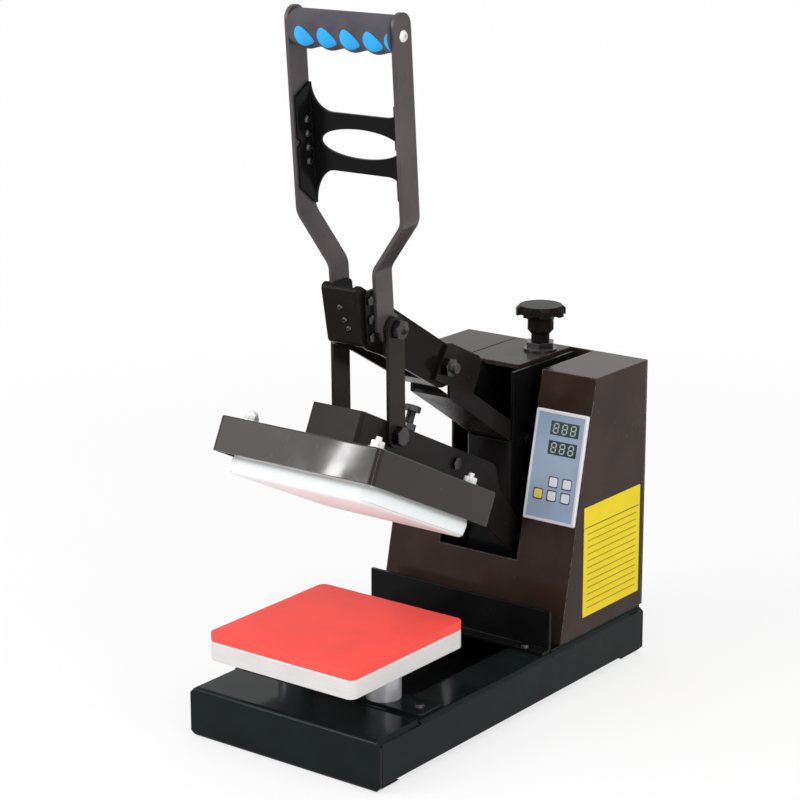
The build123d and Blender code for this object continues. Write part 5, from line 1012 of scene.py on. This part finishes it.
def make_cover():
    """The rounded slab with its rows pushed inwards by three sines of the angle."""
    rows = slab(COVER_HALF, COVER_CORNER, COVER_EDGE, COVER_LOW, COVER_HIGH, rings=12)
    height = rows[..., 2]
    angle = np.arctan2(rows[..., 1], rows[..., 0])
    wave = sum(share * np.sin(waves * angle + start) for share, waves, start in WAVES)
    free = np.clip((FREE_BELOW - height) / FREE_FADE, 0, 1)
    free = free * np.clip((height - COVER_LOW - FOOT_CLEAR) / FOOT_FADE, 0, 1)
    push = 1 - (0.5 + 0.5 * wave) * free * WAVE_DEPTH / COVER_HALF
    outer = (height < SAG_BELOW) * (np.abs(rows[..., :2]).max(axis=-1) > SAG_BEYOND)
    sunk = np.clip(height - SAG_DEPTH * (1 + wave) * outer, COVER_LOW, None)
    return np.stack([rows[..., 0] * push, rows[..., 1] * push, sunk], axis=-1)


cover_grid = placed(make_cover(), HEAD_ORIGIN, *HEAD_AXES)
cover = make_piece("cover_sheet", [cover_grid], white_ptfe, "head", smooth_angle=60)
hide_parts("ptfe_cover")

# %% [markdown]
# ## Display digits
# Each display shows three digits of seven bars. A bar is a six-sided tile, longer one way, and a
# digit is the same seven tiles placed round a figure of eight that leans a little. The tiles stand
# a hair above the window, so they're real surfaces and not a picture.

# %% Make the digits
PANEL_PLACE = np.array([69.25, 97.12, 195.12])
PANEL_AXES = ((1, 0, 0), (0, 0.21684, 0.97621))
DIGIT_WIDTH = 4.6
DIGIT_HEIGHT = 8.2
DIGIT_PITCH = 8.9
BAR_WIDTH = 1.15
DIGIT_LEAN = 0.09
WINDOW_DEPTH = 2.08
BAR_GAP = 0.25
BAR_RISE = 0.12
DIGITS_MIDDLE = 4.5
DIGIT_ROWS = (33.8, 16.6)


def bar(start, end):
    """A six-sided tile between two points, pointed at both ends."""
    start, end = np.array(start, float), np.array(end, float)
    run = (end - start) / np.linalg.norm(end - start)
    side = np.array([-run[1], run[0]]) * BAR_WIDTH / 2
    tip = run * BAR_WIDTH / 2
    near, far = start + run * BAR_GAP, end - run * BAR_GAP
    left, right = [near + tip + side, far - tip + side], [far - tip - side, near + tip - side]
    ring = np.array([near, *left, far, *right])
    ring[:, 0] += DIGIT_LEAN * ring[:, 1]
    low = np.column_stack([ring, np.full(6, WINDOW_DEPTH)])
    high = np.column_stack([ring, np.full(6, WINDOW_DEPTH + BAR_RISE)])
    middle = low.mean(axis=0)
    return np.stack([0 * low + middle, low, high, 0 * high + high.mean(axis=0)])


half_width, half_height = DIGIT_WIDTH / 2, DIGIT_HEIGHT / 2
bar_ends = [
    ((-half_width, half_height), (half_width, half_height)),
    ((half_width, half_height), (half_width, 0)),
    ((half_width, 0), (half_width, -half_height)),
    ((-half_width, -half_height), (half_width, -half_height)),
    ((-half_width, 0), (-half_width, -half_height)),
    ((-half_width, half_height), (-half_width, 0)),
    ((-half_width, 0), (half_width, 0)),
]
digit = [bar(*ends) for ends in bar_ends]
digit_grids = []
for row in DIGIT_ROWS:
    for step in (-1, 0, 1):
        shift = [DIGITS_MIDDLE + DIGIT_PITCH * step, row, 0]
        digit_grids += [placed(tile + shift, PANEL_PLACE, *PANEL_AXES) for tile in digit]
digit_glow = moulded("display bars", (0.5, 0.62, 0.6), 0.4, 0.002, 0.00001, spread=0.05)
make_piece("display_bars", digit_grids, digit_glow, "root", smooth_angle=30)

# %% [markdown]
# ## Key outlines
# A thin dark line is printed on the film round every key. Each is a flat ring a hair thick: a
# rounded square outside and the same one inside, so it is a closed band.

# %% Make the key outlines
KEY_PLACES = [(-13.75, -25.45), (0.35, -13.25), (0.35, -25.45), (14.45, -13.25), (14.45, -25.45)]
KEY_RING_OUT = 4.9
KEY_RING_IN = 4.25
RING_LOW = 2.58
RING_HIGH = 2.73
RING_ROUND = 0.3
RING_COUNT = 48


def key_ring(x, y):
    """Outlines in turn: inner and outer in the film, outer and inner a hair above it, and back."""
    inner, outer = [(half, half * RING_ROUND, RING_COUNT) for half in (KEY_RING_IN, KEY_RING_OUT)]
    levels = [(inner, RING_LOW), (outer, RING_LOW), (outer, RING_HIGH), (inner, RING_HIGH)]
    rows = []
    for shape, height in [*levels, levels[0]]:
        centre, side = rounded_outline(*shape)
        outline = centre + side * shape[1] + [x, y]
        rows.append(np.column_stack([outline, np.full(RING_COUNT, height)]))
    return np.stack(rows)


ring_grids = [placed(key_ring(*place), PANEL_PLACE, *PANEL_AXES) for place in KEY_PLACES]
make_piece("key_outlines", ring_grids, case_plastic, "root", smooth_angle=30)

# %% [markdown]
# ## Yellow card
# A thin yellow card is stuck to the right wall. It is kept plain here, with ruled lines only. The
# rules come from the card's own height: the height divided by the line pitch, minus its whole
# part, is small on each line, and a margin mask stops the lines before the edges.

# %% Make the card
CARD_MIDDLE = (97.5, 145.0, 111.5)
CARD_WIDTH = 92.0
CARD_HEIGHT = 101.0
CARD_THICKNESS = 0.3
CARD_CORNER = 1.0
FILM_COUNT = 64
RULE_PITCH = 0.0062
RULE_BAND = (0.2, 0.12)
SIDE_MARGIN = (0.0405, 0.0395)
TOP_MARGIN = (0.0325, 0.0315)
FOOT_MARGIN = (-0.0465, -0.0455)
HEAD_RULE = 0.0315
HEAD_RULE_BAND = (0.0006, 0.0003)
HEAD_RULE_ENDS = (0.0455, 0.0445)
FADE_SIZE = 0.04
CRINKLE_SIZE = 0.02
CRINKLE_DEPTH = 0.0002
CARD_DEEP = colour(0.84, 0.64, 0.01)
CARD_PALE = colour(0.88, 0.68, 0.014)
CARD_INK = colour(0.12, 0.1, 0.03)


def card_material():
    """Yellow film with dark rules by height, stopped by margins."""
    material, shader, place = new_material("yellow card", Specular_IOR_Level=0.15)
    height = place.axis("Z")
    rule = (height * (1 / RULE_PITCH)).maths("FRACT").between(*RULE_BAND)
    y = (place.axis("Y") - CARD_MIDDLE[1] * MM).maths("ABSOLUTE")
    z = height - CARD_MIDDLE[2] * MM
    margin = y.between(*SIDE_MARGIN) * z.between(*TOP_MARGIN) * z.between(*FOOT_MARGIN)
    head_line = (z - HEAD_RULE).maths("ABSOLUTE").between(*HEAD_RULE_BAND)
    head_rule = head_line * y.between(*HEAD_RULE_ENDS)
    ink = ((rule * margin * 0.75) + 0.8 * head_rule).clamped()
    fade = place.noise(FADE_SIZE, detail=3.0)
    yellow = fade.between(0.3, 0.7).blend(CARD_DEEP, CARD_PALE)
    drive(shader, "Roughness", 0.4 + 0.12 * fade)
    drive(shader, "Base Color", ink.blend(yellow, CARD_INK))
    drive(shader, "Normal", bump(place.noise(CRINKLE_SIZE), 0.3, CRINKLE_DEPTH))
    return material


def film(width, height, thickness, corner):
    """A thin rounded rectangle, closed by a point in the middle of each face."""
    centre, side = rounded_outline(np.array([width, height]) / 2, corner, FILM_COUNT)
    ring = centre + corner * side
    rows = [(0, 0.0), (1, 0.0), (1, thickness), (0, thickness)]
    levels = [np.column_stack([ring * share, np.full(FILM_COUNT, lift)]) for share, lift in rows]
    return np.stack(levels)


card_shape = film(CARD_WIDTH, CARD_HEIGHT, CARD_THICKNESS, CARD_CORNER)
card_grid = placed(card_shape, CARD_MIDDLE, *TO_RIGHT)
make_piece("side_card", [card_grid], card_material(), "root", smooth_angle=30)

# %% [markdown]
# ## Seam in the top plate
# A dark line crosses the tower's top in the photograph. It is read here as two sheets that meet
# under a thin bead of dull black sealer. The bead is the card's shape again, under a millimetre
# wide, laid from the front edge of the top to the back.

# %% Make the seam
SEAM_MIDDLE = (-43.0, 156.0, 275.6)
SEAM_WIDTH = 0.9
SEAM_LENGTH = 81.0
SEAM_THICKNESS = 0.12
SEAM_CORNER = 0.3
sealer = moulded(
    "dull sealer", (0.006, 0.005, 0.005), 0.8, 0.002, 0.00002, Specular_IOR_Level=0.0
)
seam_shape = film(SEAM_WIDTH, SEAM_LENGTH, SEAM_THICKNESS, SEAM_CORNER)
seam_grid = placed(seam_shape, SEAM_MIDDLE, *LEVEL_AXES)
make_piece("top_seam", [seam_grid], sealer, "root", smooth_angle=30)
